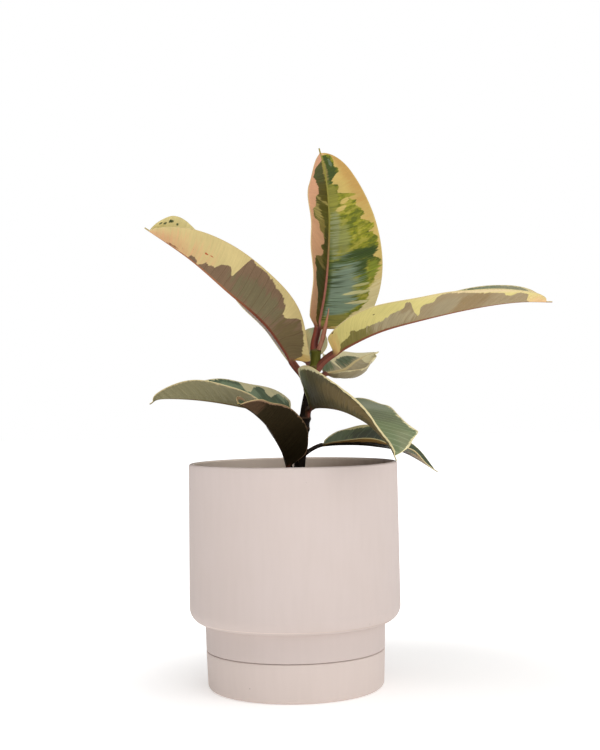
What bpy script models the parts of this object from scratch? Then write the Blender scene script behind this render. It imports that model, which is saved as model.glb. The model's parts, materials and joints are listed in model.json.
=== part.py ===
"""Variegated rubber plant in a round ceramic planter with its own saucer.

Metres, Z up. The saucer stands on z = 0 with its centre at the origin. The front of the plant faces -Y.
Values written below are in millimetres and degrees. MM turns them into the scene's metres.
"""

import math

import bmesh
import bpy
import numpy as np

MM = 0.001
GAP = 0.3  # clearance between pieces that touch

# Planter, outer sizes
RIM_RADIUS = 80.0
BODY_RADIUS = 80.9  # the side flares a little towards the bottom
BODY_CORNER = 12.0
NECK_RADIUS = 69.0  # the foot that shows between the body and the saucer
SEAM_RADIUS = 68.4
RIM_HEIGHT = 171.4
BODY_BOTTOM = 50.2
SEAM_HEIGHT = 29.4
POT_WALL = 4.0
LIP_ROUNDING = 1.6
FLOOR_THICKNESS = 6.0
INNER_CORNER = 9.0
FOOT_RADIUS = 62.0  # the foot ring that drops into the saucer
FOOT_WALL = 6.0
DRAIN_RADIUS = 6.0

# Saucer
SAUCER_BASE_RADIUS = 67.5
SAUCER_WALL = 4.0
SAUCER_FLOOR = 6.0
SAUCER_CORNER = 4.0
ROUND_STEPS = 48

# Soil
SOIL_DEPTH_BELOW_RIM = 22.0
SOIL_BUMP = 1.6

# Stem: its centre line from the root end to the growing tip
STEM_LINE = [(1, 0, 100), (2.5, 0, 150), (5, 0, 168), (7.8, 0, 190), (10.8, 0, 212), (15.2, 0, 232),
             (18.4, 0, 246), (18.9, 0, 259)]
STEM_BASE_RADIUS = 4.6
STEM_TOP_RADIUS = 3.9
SCAR_SWELL = 0.6  # how far the ring scar at each leaf stands out
SCAR_LENGTH = 2.2
STEM_SIDES = 12
STEM_ROWS = 44

# Leaf section
BLADE_THICKNESS = 0.8
MARGIN_THICKNESS = 0.6
PETIOLE_RADIUS = 2.5  # where a leaf gives no "stalk" of its own
MIDRIB_RADIUS = 1.5
MIDRIB_TIP_RADIUS = 0.5
PETIOLE_ROWS = 5
BLADE_ROWS = 21
HALF_COLUMNS = 5  # points across each half of the blade
DRIP_TIP = 0.03  # share of the blade's length that is the thin tip
TIP_RADIUS = 0.5
BULGE_FULL_WIDTH = 12  # where the half is narrower than this, a bulge fades with it

# Each leaf from the oldest to the youngest. "stem_height" is where its petiole leaves the stem, "petiole"
# holds the points between there and the blade, and "midrib" the points along the blade. "face" is where
# its upper side looks. "left" and "right" give how far each half rises from flat at the base, the middle
# and the tip, seen from the base with the upper side up; "curl" is the further turn between the midrib and
# the margin. "stalk" is the petiole's radius, "fullest" and "blunt" shape the outline, "lobe" is how far
# the base reaches back beside the petiole, and a bulge is (place along the blade, extra width) where that
# half's margin swings out, or in where the width is negative.
LEAVES = {
    "leaf_1_low_front": dict(
        stem_height=150, petiole=[(-3, -12, 169)],
        midrib=[(-9, -32, 185), (-17, -55, 200), (-27, -78, 211), (-37, -100, 218)],
        half_width=24, face=(0.15, 0.43, 0.89), left=(38, 33, 25), left_bulge=(0.93, 6),
        right=(56, 52, 44), right_bulge=(0.93, 4)),
    "leaf_2_low_right": dict(
        stem_height=176, petiole=[(22, 4, 184)],
        midrib=[(42, 8, 185), (64, 14, 183), (88, 20, 177), (114, 24, 161)],
        half_width=32, stalk=1.6, fullest=0.95, blunt=0.75, lobe=2, left=(10, 28, 20),
        left_bulge=(0.18, 4), right=(12, 5, -3)),
    "leaf_3_low_left": dict(
        stem_height=194, petiole=[(0, -3, 206)],
        midrib=[(-41, -8, 216), (-72, -10, 221), (-100, -8, 222), (-109, -8, 218)],
        half_width=32, stalk=2.2, lobe=8, left=(-27, 28, 32), right=(35, 36, 30)),
    "leaf_4_front_right": dict(
        stem_height=202, petiole=[(15, -9, 213.5)],
        midrib=[(33, -60, 213), (50, -90, 205), (60, -103, 196), (68, -110, 186), (72, -113, 177)],
        half_width=38, fullest=0.8, blunt=0.45, lobe=4, left=(12, 3, 0), left_bulge=(0.84, 17),
        right=(66, 50, 48), right_bulge=(0.84, -17)),
    "leaf_5_upper_left": dict(
        stem_height=224, petiole=[(9.5, -7, 236), (1, -10, 247.5)],
        midrib=[(-18.8, -16, 276.2), (-47.5, -20, 302.5), (-76, -20, 328), (-110, -15, 352)],
        half_width=31.5, stalk=2.8, face=(0.41, 0.64, 0.65), twist=(0, 0, -90), fullest=0.8, blunt=0.5,
        lobe=38, left=(50, 50, 65), left_bulge=(0.1, -6), right=(50, 50, 76), right_bulge=(0.91, 7)),
    "leaf_6_back_right": dict(
        stem_height=228, petiole=[(26, 14, 239)],
        midrib=[(42, 34, 243), (52, 52, 250), (62, 68, 255), (72, 80, 258)],
        half_width=23, stalk=2.2, lobe=0, left=(50, 26, 5), left_bulge=(0.12, -6), right=(-70, -60, -20),
        right_curl=(140, 130, 60), right_bulge=(0.8, -4)),
    "leaf_7_back": dict(
        stem_height=236, petiole=[(16, 22, 243), (13, 42, 249)],
        midrib=[(13, 60, 255), (13, 80, 263), (12, 97, 271), (11, 110, 279)],
        half_width=22, stalk=2.2, left=(12, 50, 50), right=(30, 50, 50)),
    "leaf_8_upper_right": dict(
        stem_height=241, petiole=[(31.5, -4.5, 253.5)],
        midrib=[(65, -12, 270), (103, -15, 280), (142, -10, 288), (174, -5, 292), (202, 0, 292)],
        half_width=38, stalk=2.9, face=(-0.25, 0, 0.97), fullest=0.8, blunt=0.5, lobe=9,
        left=(25, 28, 45), left_bulge=(0.92, 4), right=(35, 23, 15), right_bulge=(0.6, -4.5)),
    "leaf_9_upright": dict(
        stem_height=254, petiole=[(18, 1, 262), (20.5, 1.8, 273)],
        midrib=[(27, 6, 305), (30, 8, 335), (31, 7, 362), (29, 1, 390), (24, -12, 411)],
        half_width=43, stalk=2.9, face=(0.5, -0.85, 0), left=(40, 40, 0), left_bulge=(0.06, -5),
        right=(30, 30, 15)),
}

SHEATH_LINE = [(20.8, -2.4, 256), (22.2, -3.4, 260), (24.3, -4.2, 266), (27.2, -5, 277.5), (29.5, -5, 289)]
SHEATH_RADIUS = 1.8
SHEATH_TIP_RADIUS = 0.35
SHEATH_FULL_SHARE = 0.35  # how far up it keeps its full thickness

WAVE = 1.2  # height of the slow waves along a leaf's margin
WAVES = 2.4


def clear_scene():
    for thing in list(bpy.data.objects):
        bpy.data.objects.remove(thing, do_unlink=True)


def make_material(name, colour, roughness):
    """A Principled material with this sRGB colour, which isn't metal."""
    material = bpy.data.materials.new(name)
    material.use_nodes = True
    linear = [((c / 255 + 0.055) / 1.055) ** 2.4 if c > 10 else c / 255 / 12.92 for c in colour]
    shader = material.node_tree.nodes["Principled BSDF"]
    shader.inputs["Base Color"].default_value = (*linear, 1)
    shader.inputs["Roughness"].default_value = roughness
    shader.inputs["Metallic"].default_value = 0
    material.diffuse_color = (*linear, 1)
    return material


def make_object(name, points, faces, material, sharp_degrees=40):
    """One object from points in millimetres, shaded smooth except at edges sharper than this."""
    mesh = bpy.data.meshes.new(name)
    mesh.from_pydata([tuple(c * MM for c in point) for point in points], [], faces)
    mesh.validate()
    mesh.shade_smooth()
    mesh.set_sharp_from_angle(angle=math.radians(sharp_degrees))
    thing = bpy.data.objects.new(name, mesh)
    bpy.context.scene.collection.objects.link(thing)
    if material:
        mesh.materials.append(material)
    return thing


def cut_away(thing, cutter):
    modifier = thing.modifiers.new("Clearance", "BOOLEAN")
    modifier.operation = "DIFFERENCE"
    modifier.solver = "EXACT"
    modifier.object = cutter


def arc_points(centre, radius, start_degrees, end_degrees, steps):
    """Points (radius, height) along an arc of a turned profile."""
    step = math.radians(end_degrees - start_degrees) / steps
    angles = [math.radians(start_degrees) + step * i for i in range(steps + 1)]
    return [(centre[0] + radius * math.cos(a), centre[1] + radius * math.sin(a)) for a in angles]


def turned_object(name, profile, material, closed):
    """A profile of (radius, height) turned round Z. A closed one leaves a hole at the axis."""
    mesh_data = bmesh.new()
    corners = [mesh_data.verts.new((r * MM, 0, z * MM)) for r, z in profile]
    edges = [mesh_data.edges.new(pair) for pair in zip(corners, corners[1:])]
    if closed:
        edges.append(mesh_data.edges.new((corners[-1], corners[0])))
    bmesh.ops.spin(mesh_data, geom=corners + edges, axis=(0, 0, 1), cent=(0, 0, 0), angle=math.tau,
                   steps=ROUND_STEPS, use_merge=True)
    bmesh.ops.remove_doubles(mesh_data, verts=mesh_data.verts, dist=0.00001)
    bmesh.ops.recalc_face_normals(mesh_data, faces=mesh_data.faces)
    mesh = bpy.data.meshes.new(name)
    mesh_data.to_mesh(mesh)
    mesh_data.free()
    mesh.shade_smooth()
    mesh.set_sharp_from_angle(angle=math.radians(35))
    mesh.materials.append(material)
    thing = bpy.data.objects.new(name, mesh)
    bpy.context.scene.collection.objects.link(thing)
    return thing


def build_saucer(material):
    top = SEAM_HEIGHT - GAP
    inner = SEAM_RADIUS - SAUCER_WALL
    profile = [(0, 0)]
    profile += arc_points((SAUCER_BASE_RADIUS - SAUCER_CORNER, SAUCER_CORNER), SAUCER_CORNER, -90, 0, 4)
    profile += arc_points((SEAM_RADIUS - 1, top - 1), 1, 0, 90, 2)
    profile += arc_points((inner + 1, top - 1), 1, 90, 180, 2)
    profile += arc_points((inner - 3, SAUCER_FLOOR + 3), 3, 0, -90, 2)
    profile += [(0, SAUCER_FLOOR)]
    return turned_object("saucer", profile, material, closed=False)


def build_pot(material):
    """The bowl, the neck under it, and the foot ring that stands on the saucer's floor."""
    foot_bottom = SAUCER_FLOOR + GAP
    floor_top = BODY_BOTTOM + FLOOR_THICKNESS
    inner_radius = RIM_RADIUS - POT_WALL
    foot_inner = FOOT_RADIUS - FOOT_WALL
    profile = [(FOOT_RADIUS - 1, foot_bottom), (FOOT_RADIUS, foot_bottom + 1), (FOOT_RADIUS, SEAM_HEIGHT)]
    profile += arc_points((SEAM_RADIUS - 1, SEAM_HEIGHT + 1), 1, -90, 0, 2)
    profile += [(NECK_RADIUS, BODY_BOTTOM)]
    profile += arc_points((BODY_RADIUS - BODY_CORNER, BODY_BOTTOM + BODY_CORNER), BODY_CORNER, -84, 0, 5)
    profile += arc_points((RIM_RADIUS - LIP_ROUNDING, RIM_HEIGHT - LIP_ROUNDING), LIP_ROUNDING, 0, 90, 2)
    inner_lip = (inner_radius + LIP_ROUNDING, RIM_HEIGHT - LIP_ROUNDING)
    profile += arc_points(inner_lip, LIP_ROUNDING, 90, 180, 2)
    profile += arc_points((inner_radius - INNER_CORNER, floor_top + INNER_CORNER), INNER_CORNER, 0, -90, 3)
    profile += [(DRAIN_RADIUS, floor_top), (DRAIN_RADIUS, BODY_BOTTOM), (foot_inner, BODY_BOTTOM)]
    profile += [(foot_inner, foot_bottom)]
    return turned_object("pot", profile, material, closed=True)


def soil_height(x, y):
    """Gentle lumps with a low mound round the stem."""
    lumps = math.sin(x / 9.0 + 0.6) * math.cos(y / 11.0) + 0.6 * math.sin(x / 4.3 - y / 5.1 + 1.2)
    mound = 2.5 * math.exp(-(x * x + y * y) / 900)
    return RIM_HEIGHT - SOIL_DEPTH_BELOW_RIM + SOIL_BUMP * lumps / 1.6 + mound


def build_soil(material, cutter):
    """Fills the bowl from its floor. The stem stands in a plain hole."""
    radius = RIM_RADIUS - POT_WALL - GAP
    bottom = BODY_BOTTOM + FLOOR_THICKNESS + GAP
    corner = INNER_CORNER - GAP
    rings = [radius * share for share in (0.14, 0.3, 0.46, 0.62, 0.78, 0.9, 1.0)]
    sides = ROUND_STEPS
    centre_height = soil_height(0, 0)
    points, faces = [(0, 0, centre_height)], []
    for ring in rings:
        for k in range(sides):
            x, y = ring * math.cos(math.tau * k / sides), ring * math.sin(math.tau * k / sides)
            points.append((x, y, soil_height(x, y)))
    below = arc_points((radius - corner, bottom + corner), corner, 0, -90, 3)
    for r, z in below:
        turns = [math.tau * k / sides for k in range(sides)]
        points += [(r * math.cos(turn), r * math.sin(turn), z) for turn in turns]
    points.append((0, 0, bottom))
    last = len(points) - 1
    count = len(rings) + len(below)
    for k in range(sides):
        after = (k + 1) % sides
        faces.append((0, 1 + k, 1 + after))
        for ring in range(count - 1):
            a, b = 1 + ring * sides, 1 + (ring + 1) * sides
            faces.append((a + k, b + k, b + after))
            faces.append((a + k, b + after, a + after))
        end = 1 + (count - 1) * sides
        faces.append((last, end + after, end + k))
    soil = make_object("soil", points, faces, material, 60)
    cut_away(soil, cutter)
    return soil


def smooth_line(points, steps_each=24):
    """A close row of points along the Catmull-Rom curve through these, and the length run at each."""
    given = np.array(points, float)
    ends = np.vstack([2 * given[0] - given[1], given, 2 * given[-1] - given[-2]])
    row = []
    for a, b, c, d in zip(ends, ends[1:], ends[2:], ends[3:]):
        t = np.linspace(0, 1, steps_each, endpoint=False)[:, None]
        bend = (2 * a - 5 * b + 4 * c - d) * t**2 + (3 * b - a - 3 * c + d) * t**3
        row.append(0.5 * (2 * b + (c - a) * t + bend))
    row = np.vstack(row + [given[-1:]])
    run = np.concatenate([[0], np.cumsum(np.linalg.norm(np.diff(row, axis=0), axis=1))])
    return row, run


def place_along(row, run, at):
    """Points and unit directions of a smooth line at these lengths."""
    points = np.stack([np.interp(at, run, row[:, axis]) for axis in range(3)], 1)
    step = run[-1] / 200
    ahead = np.stack([np.interp(np.minimum(at + step, run[-1]), run, row[:, axis]) for axis in range(3)], 1)
    behind = np.stack([np.interp(np.maximum(at - step, 0), run, row[:, axis]) for axis in range(3)], 1)
    direction = ahead - behind
    return points, direction / np.linalg.norm(direction, axis=1)[:, None]


def stem_point(height):
    row, run = smooth_line(STEM_LINE)
    return tuple(np.interp(height, row[:, 2], row[:, axis]) for axis in range(3))


def tube(line, radius_at, rows, sides):
    """Points and faces of a closed round tube. radius_at takes the share of the length."""
    row, run = smooth_line(line)
    shares = np.linspace(0, 1, rows)
    centres, directions = place_along(row, run, shares * run[-1])
    points, faces = [tuple(centres[0])], []
    for share, centre, along in zip(shares, centres, directions):
        across = np.cross(along, (0, 1, 0))
        across /= np.linalg.norm(across)
        other = np.cross(along, across)
        radius = radius_at(share)
        for k in range(sides):
            angle = math.tau * k / sides
            points.append(tuple(centre + radius * (math.cos(angle) * across + math.sin(angle) * other)))
    points.append(tuple(centres[-1]))
    last = len(points) - 1
    for k in range(sides):
        after = (k + 1) % sides
        faces.append((0, 1 + after, 1 + k))
        for ring in range(rows - 1):
            a, b = 1 + ring * sides, 1 + (ring + 1) * sides
            faces += [(a + k, a + after, b + after), (a + k, b + after, b + k)]
        end = 1 + (rows - 1) * sides
        faces.append((last, end + k, end + after))
    return points, faces


def stem_radius(share, extra=0.0):
    """Tapers upwards, stands out at each leaf scar and rounds off over the last few millimetres."""
    bottom, top = STEM_LINE[0][2], STEM_LINE[-1][2]
    height = bottom + share * (top - bottom)
    radius = STEM_BASE_RADIUS + (STEM_TOP_RADIUS - STEM_BASE_RADIUS) * share
    for leaf in LEAVES.values():
        radius += SCAR_SWELL * math.exp(-(((height - leaf["stem_height"] - 3) / SCAR_LENGTH) ** 2))
    rounding = max(0.0, 1 - (top - height) / 4)
    return radius * math.sqrt(1 - 0.75 * rounding**2) + extra


def build_stem(material):
    points, faces = tube(STEM_LINE, stem_radius, STEM_ROWS, STEM_SIDES)
    return make_object("stem", points, faces, material, 60)


def stem_cutter():
    """The stem with its clearance all round, which hollows the soil and trims the petioles."""
    x, y, top = STEM_LINE[-1]
    line = [(1, 0, STEM_LINE[0][2] - GAP)] + STEM_LINE[1:-1] + [(x + 0.1, y, top + GAP)]
    points, faces = tube(line, lambda share: stem_radius(share, GAP), STEM_ROWS, STEM_SIDES)
    cutter = make_object("stem_clearance", points, faces, None)
    cutter.hide_render = True
    cutter.display_type = "WIRE"
    return cutter


def through_three(values, u):
    """The smooth curve that takes these values at the base, the middle and the tip."""
    base, middle, tip = values
    return base + (4 * middle - 3 * base - tip) * u + 2 * (base - 2 * middle + tip) * u * u


def blade_half_width(leaf, u):
    """Oblong outline: rounded at the base, fullest before the middle, and drawn out to a thin tip."""
    body = np.clip(u / (1 - DRIP_TIP), 0, 1)
    outline = np.sin(math.pi * body ** leaf.get("fullest", 0.66)) ** leaf.get("blunt", 0.6)
    stalk = leaf.get("stalk", PETIOLE_RADIUS)
    return np.maximum(leaf["half_width"] * outline, stalk + (TIP_RADIUS - stalk) * u)


def blade_frames(leaf, directions, u):
    """The upward and rightward unit vectors at each row."""
    face = np.array(leaf.get("face", (0, 0, 1)), float)
    up = face - (directions @ face)[:, None] * directions
    up /= np.linalg.norm(up, axis=1)[:, None]
    right = np.cross(directions, up)
    twist = np.radians(through_three(leaf.get("twist", (0, 0, 0)), u))[:, None]
    return up * np.cos(twist) + right * np.sin(twist), right * np.cos(twist) - up * np.sin(twist)


def leaf_surface(leaf, number):
    """Upper and lower points of a leaf, each as rows by columns from the left margin to the right one."""
    row, run = smooth_line([stem_point(leaf["stem_height"])] + leaf["petiole"] + leaf["midrib"])
    blade_start = run[24 * len(leaf["petiole"])]
    even = np.linspace(0, 1, BLADE_ROWS)
    blade_shares = 0.3 * even + 0.35 * (1 - np.cos(math.pi * even))
    at = np.concatenate([np.linspace(0, blade_start, PETIOLE_ROWS, endpoint=False),
                         blade_start + blade_shares * (run[-1] - blade_start)])
    u = np.concatenate([np.zeros(PETIOLE_ROWS), blade_shares])
    centres, directions = place_along(row, run, at)
    up, right = blade_frames(leaf, directions, u)
    stalk = leaf.get("stalk", PETIOLE_RADIUS)
    width = np.where(at < blade_start, stalk, blade_half_width(leaf, u))
    flat = np.clip(u / 0.06, 0, 1)
    flat = (flat * flat * (3 - 2 * flat))[:, None]
    step = np.arange(HALF_COLUMNS + 1)
    # Round section of the petiole
    turn = np.radians(82) * step / HALF_COLUMNS
    round_out = stalk * np.sin(turn)[None, :]
    round_up = stalk * np.cos(turn)[None, :]
    # Flat section of the blade: two columns beside the midrib, the rest spread to the margin
    near = np.minimum(width[:, None] * step / HALF_COLUMNS, 0.95 * step)[:, :3]
    spread = near[:, 2:] + (width[:, None] - near[:, 2:]) * (step[None, 3:] - 2) / (HALF_COLUMNS - 2)
    out = np.concatenate([near, spread], 1)
    share = out / width[:, None]
    rib = (MIDRIB_RADIUS + (MIDRIB_TIP_RADIUS - MIDRIB_RADIUS) * u)[:, None]
    thickness = BLADE_THICKNESS + (MARGIN_THICKNESS - BLADE_THICKNESS) * share
    under = np.maximum(thickness, 1.35 * np.sqrt(np.maximum(rib**2 - out**2, 0)))
    upper, lower = [None] * (2 * HALF_COLUMNS + 1), [None] * (2 * HALF_COLUMNS + 1)
    for side, sign in (("left", -1), ("right", 1)):
        bulge_place, bulge = leaf.get(side + "_bulge", (0.5, 0))
        swell = 1 + bulge * np.exp(-(((u - bulge_place) / 0.1) ** 2)) / np.maximum(width, BULGE_FULL_WIDTH)
        half = (swell * width)[:, None]
        rise = np.radians(through_three(leaf[side], u))[:, None]
        curl = np.radians(through_three(leaf.get(side + "_curl", (0, 0, 0)), u))[:, None] + 1e-6
        angle = rise + curl * share
        sheet_out = half / curl * (np.sin(angle) - np.sin(rise))
        sheet_up = half / curl * (np.cos(rise) - np.cos(angle))
        wave = WAVE * np.sin(math.tau * (WAVES * u + 0.37 * number + 0.2 * sign))[:, None] * share**2 * flat
        wave = wave * (width / leaf["half_width"])[:, None]
        back = leaf.get("lobe", 6) * share**2 * ((1 - u) ** 6 * width / leaf["half_width"])[:, None] * flat
        tilt = angle * np.clip(out / 3, 0, 1)
        for column in step:
            def offset(depth):
                return (sheet_out - (wave - depth) * np.sin(tilt), sheet_up + (wave - depth) * np.cos(tilt))
            top_out, top_up = offset(0)
            low_out, low_up = offset(under)
            sheets = ((upper, top_out, top_up, 1), (lower, low_out, low_up, -1))
            for target, flat_out, flat_up, round_sign in sheets:
                x = (flat * flat_out + (1 - flat) * round_out)[:, column]
                z = (flat * flat_up + (1 - flat) * round_sign * round_up)[:, column]
                sideways = sign * x[:, None] * right + z[:, None] * up
                backward = back[:, column][:, None] * directions
                target[HALF_COLUMNS + sign * column] = centres + sideways - backward
    return np.stack(upper, 1), np.stack(lower, 1)


def skin_faces(rows, columns):
    """Triangles that close two sheets of points into one body, split alike above and below."""
    def top(i, j):
        return i * columns + j

    def low(i, j):
        return rows * columns + i * columns + j

    faces = []
    for i in range(rows - 1):
        for j in range(columns - 1):
            faces.append((top(i, j), top(i, j + 1), top(i + 1, j + 1)))
            faces.append((top(i, j), top(i + 1, j + 1), top(i + 1, j)))
            faces.append((low(i, j), low(i + 1, j + 1), low(i, j + 1)))
            faces.append((low(i, j), low(i + 1, j), low(i + 1, j + 1)))
        faces += [(top(i, 0), top(i + 1, 0), low(i + 1, 0)), (top(i, 0), low(i + 1, 0), low(i, 0))]
        k = columns - 1
        faces += [(top(i, k), low(i + 1, k), top(i + 1, k)), (top(i, k), low(i, k), low(i + 1, k))]
    end = rows - 1
    for j in range(columns - 1):
        faces += [(top(0, j), low(0, j), low(0, j + 1)), (top(0, j), low(0, j + 1), top(0, j + 1))]
        faces.append((top(end, j), low(end, j + 1), low(end, j)))
        faces.append((top(end, j), top(end, j + 1), low(end, j + 1)))
    return faces


def build_leaf(name, leaf, number, material, cutter):
    upper, lower = leaf_surface(leaf, number)
    rows, columns = upper.shape[:2]
    points = [tuple(p) for p in upper.reshape(-1, 3)] + [tuple(p) for p in lower.reshape(-1, 3)]
    thing = make_object(name, points, skin_faces(rows, columns), material, 60)
    cut_away(thing, cutter)
    return thing


def sheath_radius(share):
    """Holds its thickness at first, then draws out to a fine point."""
    along = max(0.0, (share - SHEATH_FULL_SHARE) / (1 - SHEATH_FULL_SHARE))
    return SHEATH_RADIUS + (SHEATH_TIP_RADIUS - SHEATH_RADIUS) * along * along * (3 - 2 * along)


def build_sheath(material, cutter):
    """The rolled red sheath of the next leaf at the growing tip."""
    points, faces = tube(SHEATH_LINE, sheath_radius, 10, 8)
    sheath = make_object("bud_sheath", points, faces, material, 70)
    cut_away(sheath, cutter)
    return sheath


def main():
    clear_scene()
    cutter = stem_cutter()
    build_saucer(make_material("saucer_glaze", (216, 201, 194), 0.55))
    build_pot(make_material("pot_glaze", (218, 203, 197), 0.55))
    build_soil(make_material("potting_soil", (66, 50, 38), 0.95), cutter)
    build_stem(make_material("stem_bark", (74, 62, 38), 0.6))
    for number, (name, leaf) in enumerate(LEAVES.items()):
        green = make_material(name + "_green", (104 + 8 * (number % 3), 122, 84), 0.4)
        build_leaf(name, leaf, number, green, cutter)
    build_sheath(make_material("sheath_red", (150, 78, 62), 0.45), cutter)


main()
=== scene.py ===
import json
import math
import bmesh
import bpy
import numpy as np
from mathutils import Matrix, Vector, noise

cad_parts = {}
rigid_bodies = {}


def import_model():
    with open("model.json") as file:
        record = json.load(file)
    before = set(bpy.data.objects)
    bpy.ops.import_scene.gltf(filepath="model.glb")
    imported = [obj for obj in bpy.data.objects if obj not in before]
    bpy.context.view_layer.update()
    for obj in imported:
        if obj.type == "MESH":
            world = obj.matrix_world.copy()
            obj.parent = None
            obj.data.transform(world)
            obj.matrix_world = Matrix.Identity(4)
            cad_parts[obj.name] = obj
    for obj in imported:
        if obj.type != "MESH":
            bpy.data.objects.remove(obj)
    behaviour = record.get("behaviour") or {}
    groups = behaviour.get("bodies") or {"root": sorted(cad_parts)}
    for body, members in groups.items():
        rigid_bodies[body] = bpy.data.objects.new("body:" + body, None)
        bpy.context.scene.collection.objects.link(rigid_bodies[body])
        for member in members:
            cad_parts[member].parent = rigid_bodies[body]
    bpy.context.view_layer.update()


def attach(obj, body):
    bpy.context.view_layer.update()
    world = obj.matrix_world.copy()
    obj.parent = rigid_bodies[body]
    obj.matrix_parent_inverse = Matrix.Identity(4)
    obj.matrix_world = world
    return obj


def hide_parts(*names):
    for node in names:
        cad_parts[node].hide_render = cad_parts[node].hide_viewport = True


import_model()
scene = bpy.context.scene
scene.view_settings.view_transform = "Standard"
mm = 0.001


def colour(hexCode):
    channels = [int(hexCode[i:i + 2], 16) / 255 for i in (1, 3, 5)]
    linear = [c / 12.92 if c <= 0.04045 else ((c + 0.055) / 1.055) ** 2.4 for c in channels]
    return (*linear, 1.0)


def socketOf(sockets, place):  # by number or by name, among those that the node uses
    live = [socket for socket in sockets if socket.enabled]
    if isinstance(place, int):
        return live[place]
    return next(socket for socket in live if socket.name == place)


# A node with its settings and links. Links go by name, or in the order of the node's sockets: a noise has its
# place, scale and detail, a mix its factor and two sides, a range its value, its span and the one it gets
def add(tree, kind, links=(), mode=None, points=(), **settings):
    family = next(f for f in ("ShaderNode", "GeometryNode", "FunctionNode") if hasattr(bpy.types, f + kind))
    node = tree.nodes.new(family + kind)
    if mode:
        setattr(node, "operation" if hasattr(node, "operation") else "data_type", mode)
    for name, value in settings.items():
        setattr(node, name, value)
    links = links if isinstance(links, (dict, tuple)) else (links,)
    for place, value in links.items() if isinstance(links, dict) else enumerate(links):
        socket = socketOf(node.inputs, place)
        if isinstance(value, bpy.types.Node):
            value = socketOf(value.outputs, 0)
        if isinstance(value, bpy.types.NodeSocket):
            tree.links.new(value, socket)
        else:
            socket.default_value = colour(value) if str(value).startswith("#") else value
    if points:  # a curve's own points, from left to right
        curve = node.mapping.curves[0]
        curve.points[0].location, curve.points[1].location = points[0], points[-1]
        for x, y in points[1:-1]:
            curve.points.new(x, y)
        for point in curve.points:
            point.handle_type = "AUTO_CLAMPED"
        node.mapping.update()
    return node


def out(node, name):
    return socketOf(node.outputs, name)


def newMaterial(name, **constants):  # the shader's own sockets hold what is the same all over
    material = bpy.data.materials.new(name)
    material.use_nodes = True
    for socketName, value in constants.items():
        material.node_tree.nodes["Principled BSDF"].inputs[socketName].default_value = value
    return material, material.node_tree


# The coats go over the skin one after the other, as (share, colour). The relief is in millimetres
def finishMaterial(material, skin, coats, relief, strength, depth):
    tree = material.node_tree
    for factor, tone in coats:
        skin = add(tree, "Mix", (factor, skin, tone), "RGBA")
    bump = add(tree, "Bump", {"Height": relief, "Strength": strength, "Distance": depth * mm})
    shader = tree.nodes["Principled BSDF"]
    tree.links.new(socketOf(skin.outputs, 0), shader.inputs["Base Color"])
    tree.links.new(socketOf(bump.outputs, 0), shader.inputs["Normal"])
    return material


def newTree(name, kind, inputs, outputs):  # its sockets as label and kind
    tree = bpy.data.node_groups.new(name, kind + "NodeTree")
    for way, sockets in (("INPUT", inputs), ("OUTPUT", outputs)):
        for label, socketKind in sockets.items():
            tree.interface.new_socket(label, in_out=way, socket_type="NodeSocket" + socketKind)
    return tree, tree.nodes.new("NodeGroupInput"), tree.nodes.new("NodeGroupOutput")


def newShapeTree(name, inputs):
    return newTree(name, "Geometry", {"Geometry": "Geometry", **inputs, "Finish": "Material"},
                   {"Geometry": "Geometry"})


def endShapeTree(tree, shape, given, result):  # no instances are left, and the finish is on
    real = add(tree, "RealizeInstances", shape)
    painted = add(tree, "SetMaterial", {"Geometry": real, "Material": out(given, "Finish")})
    tree.links.new(painted.outputs[0], result.inputs[0])
    return tree


def applyTree(thing, tree, values):  # the result becomes the object's own plain mesh
    modifier = thing.modifiers.new(tree.name, "NODES")
    modifier.node_group = tree
    for item in tree.interface.items_tree:
        if item.in_out == "INPUT" and item.name in values:
            modifier[item.identifier] = values[item.name]
    graph = bpy.context.evaluated_depsgraph_get()
    mesh = bpy.data.meshes.new_from_object(thing.evaluated_get(graph), preserve_all_data_layers=True,
                                           depsgraph=graph)
    thing.modifiers.clear()
    thing.data = mesh
    mesh.name = thing.name
    return thing


def newObject(name, points, edges, faces):
    mesh = bpy.data.meshes.new(name)
    mesh.from_pydata([tuple(p) for p in points], edges, faces)
    mesh.update()
    thing = bpy.data.objects.new(name, mesh)
    scene.collection.objects.link(thing)
    return thing


def smoothFaces(thing, sharpDegrees=60):  # except where its edges are sharper than this
    thing.data.shade_smooth()
    thing.data.set_sharp_from_angle(angle=math.radians(sharpDegrees))
    return thing


def tidyMesh(thing, *sharpDegrees):  # doubles merged and faces turned outwards
    work = bmesh.new()
    work.from_mesh(thing.data)
    bmesh.ops.remove_doubles(work, verts=work.verts, dist=1e-6)
    bmesh.ops.recalc_face_normals(work, faces=work.faces)
    work.to_mesh(thing.data)
    work.free()
    return smoothFaces(thing, *sharpDegrees)


def finishPiece(thing, slot, *nodes):
    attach(thing, "root")
    if nodes:
        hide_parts(*nodes)
    return thing


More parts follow.
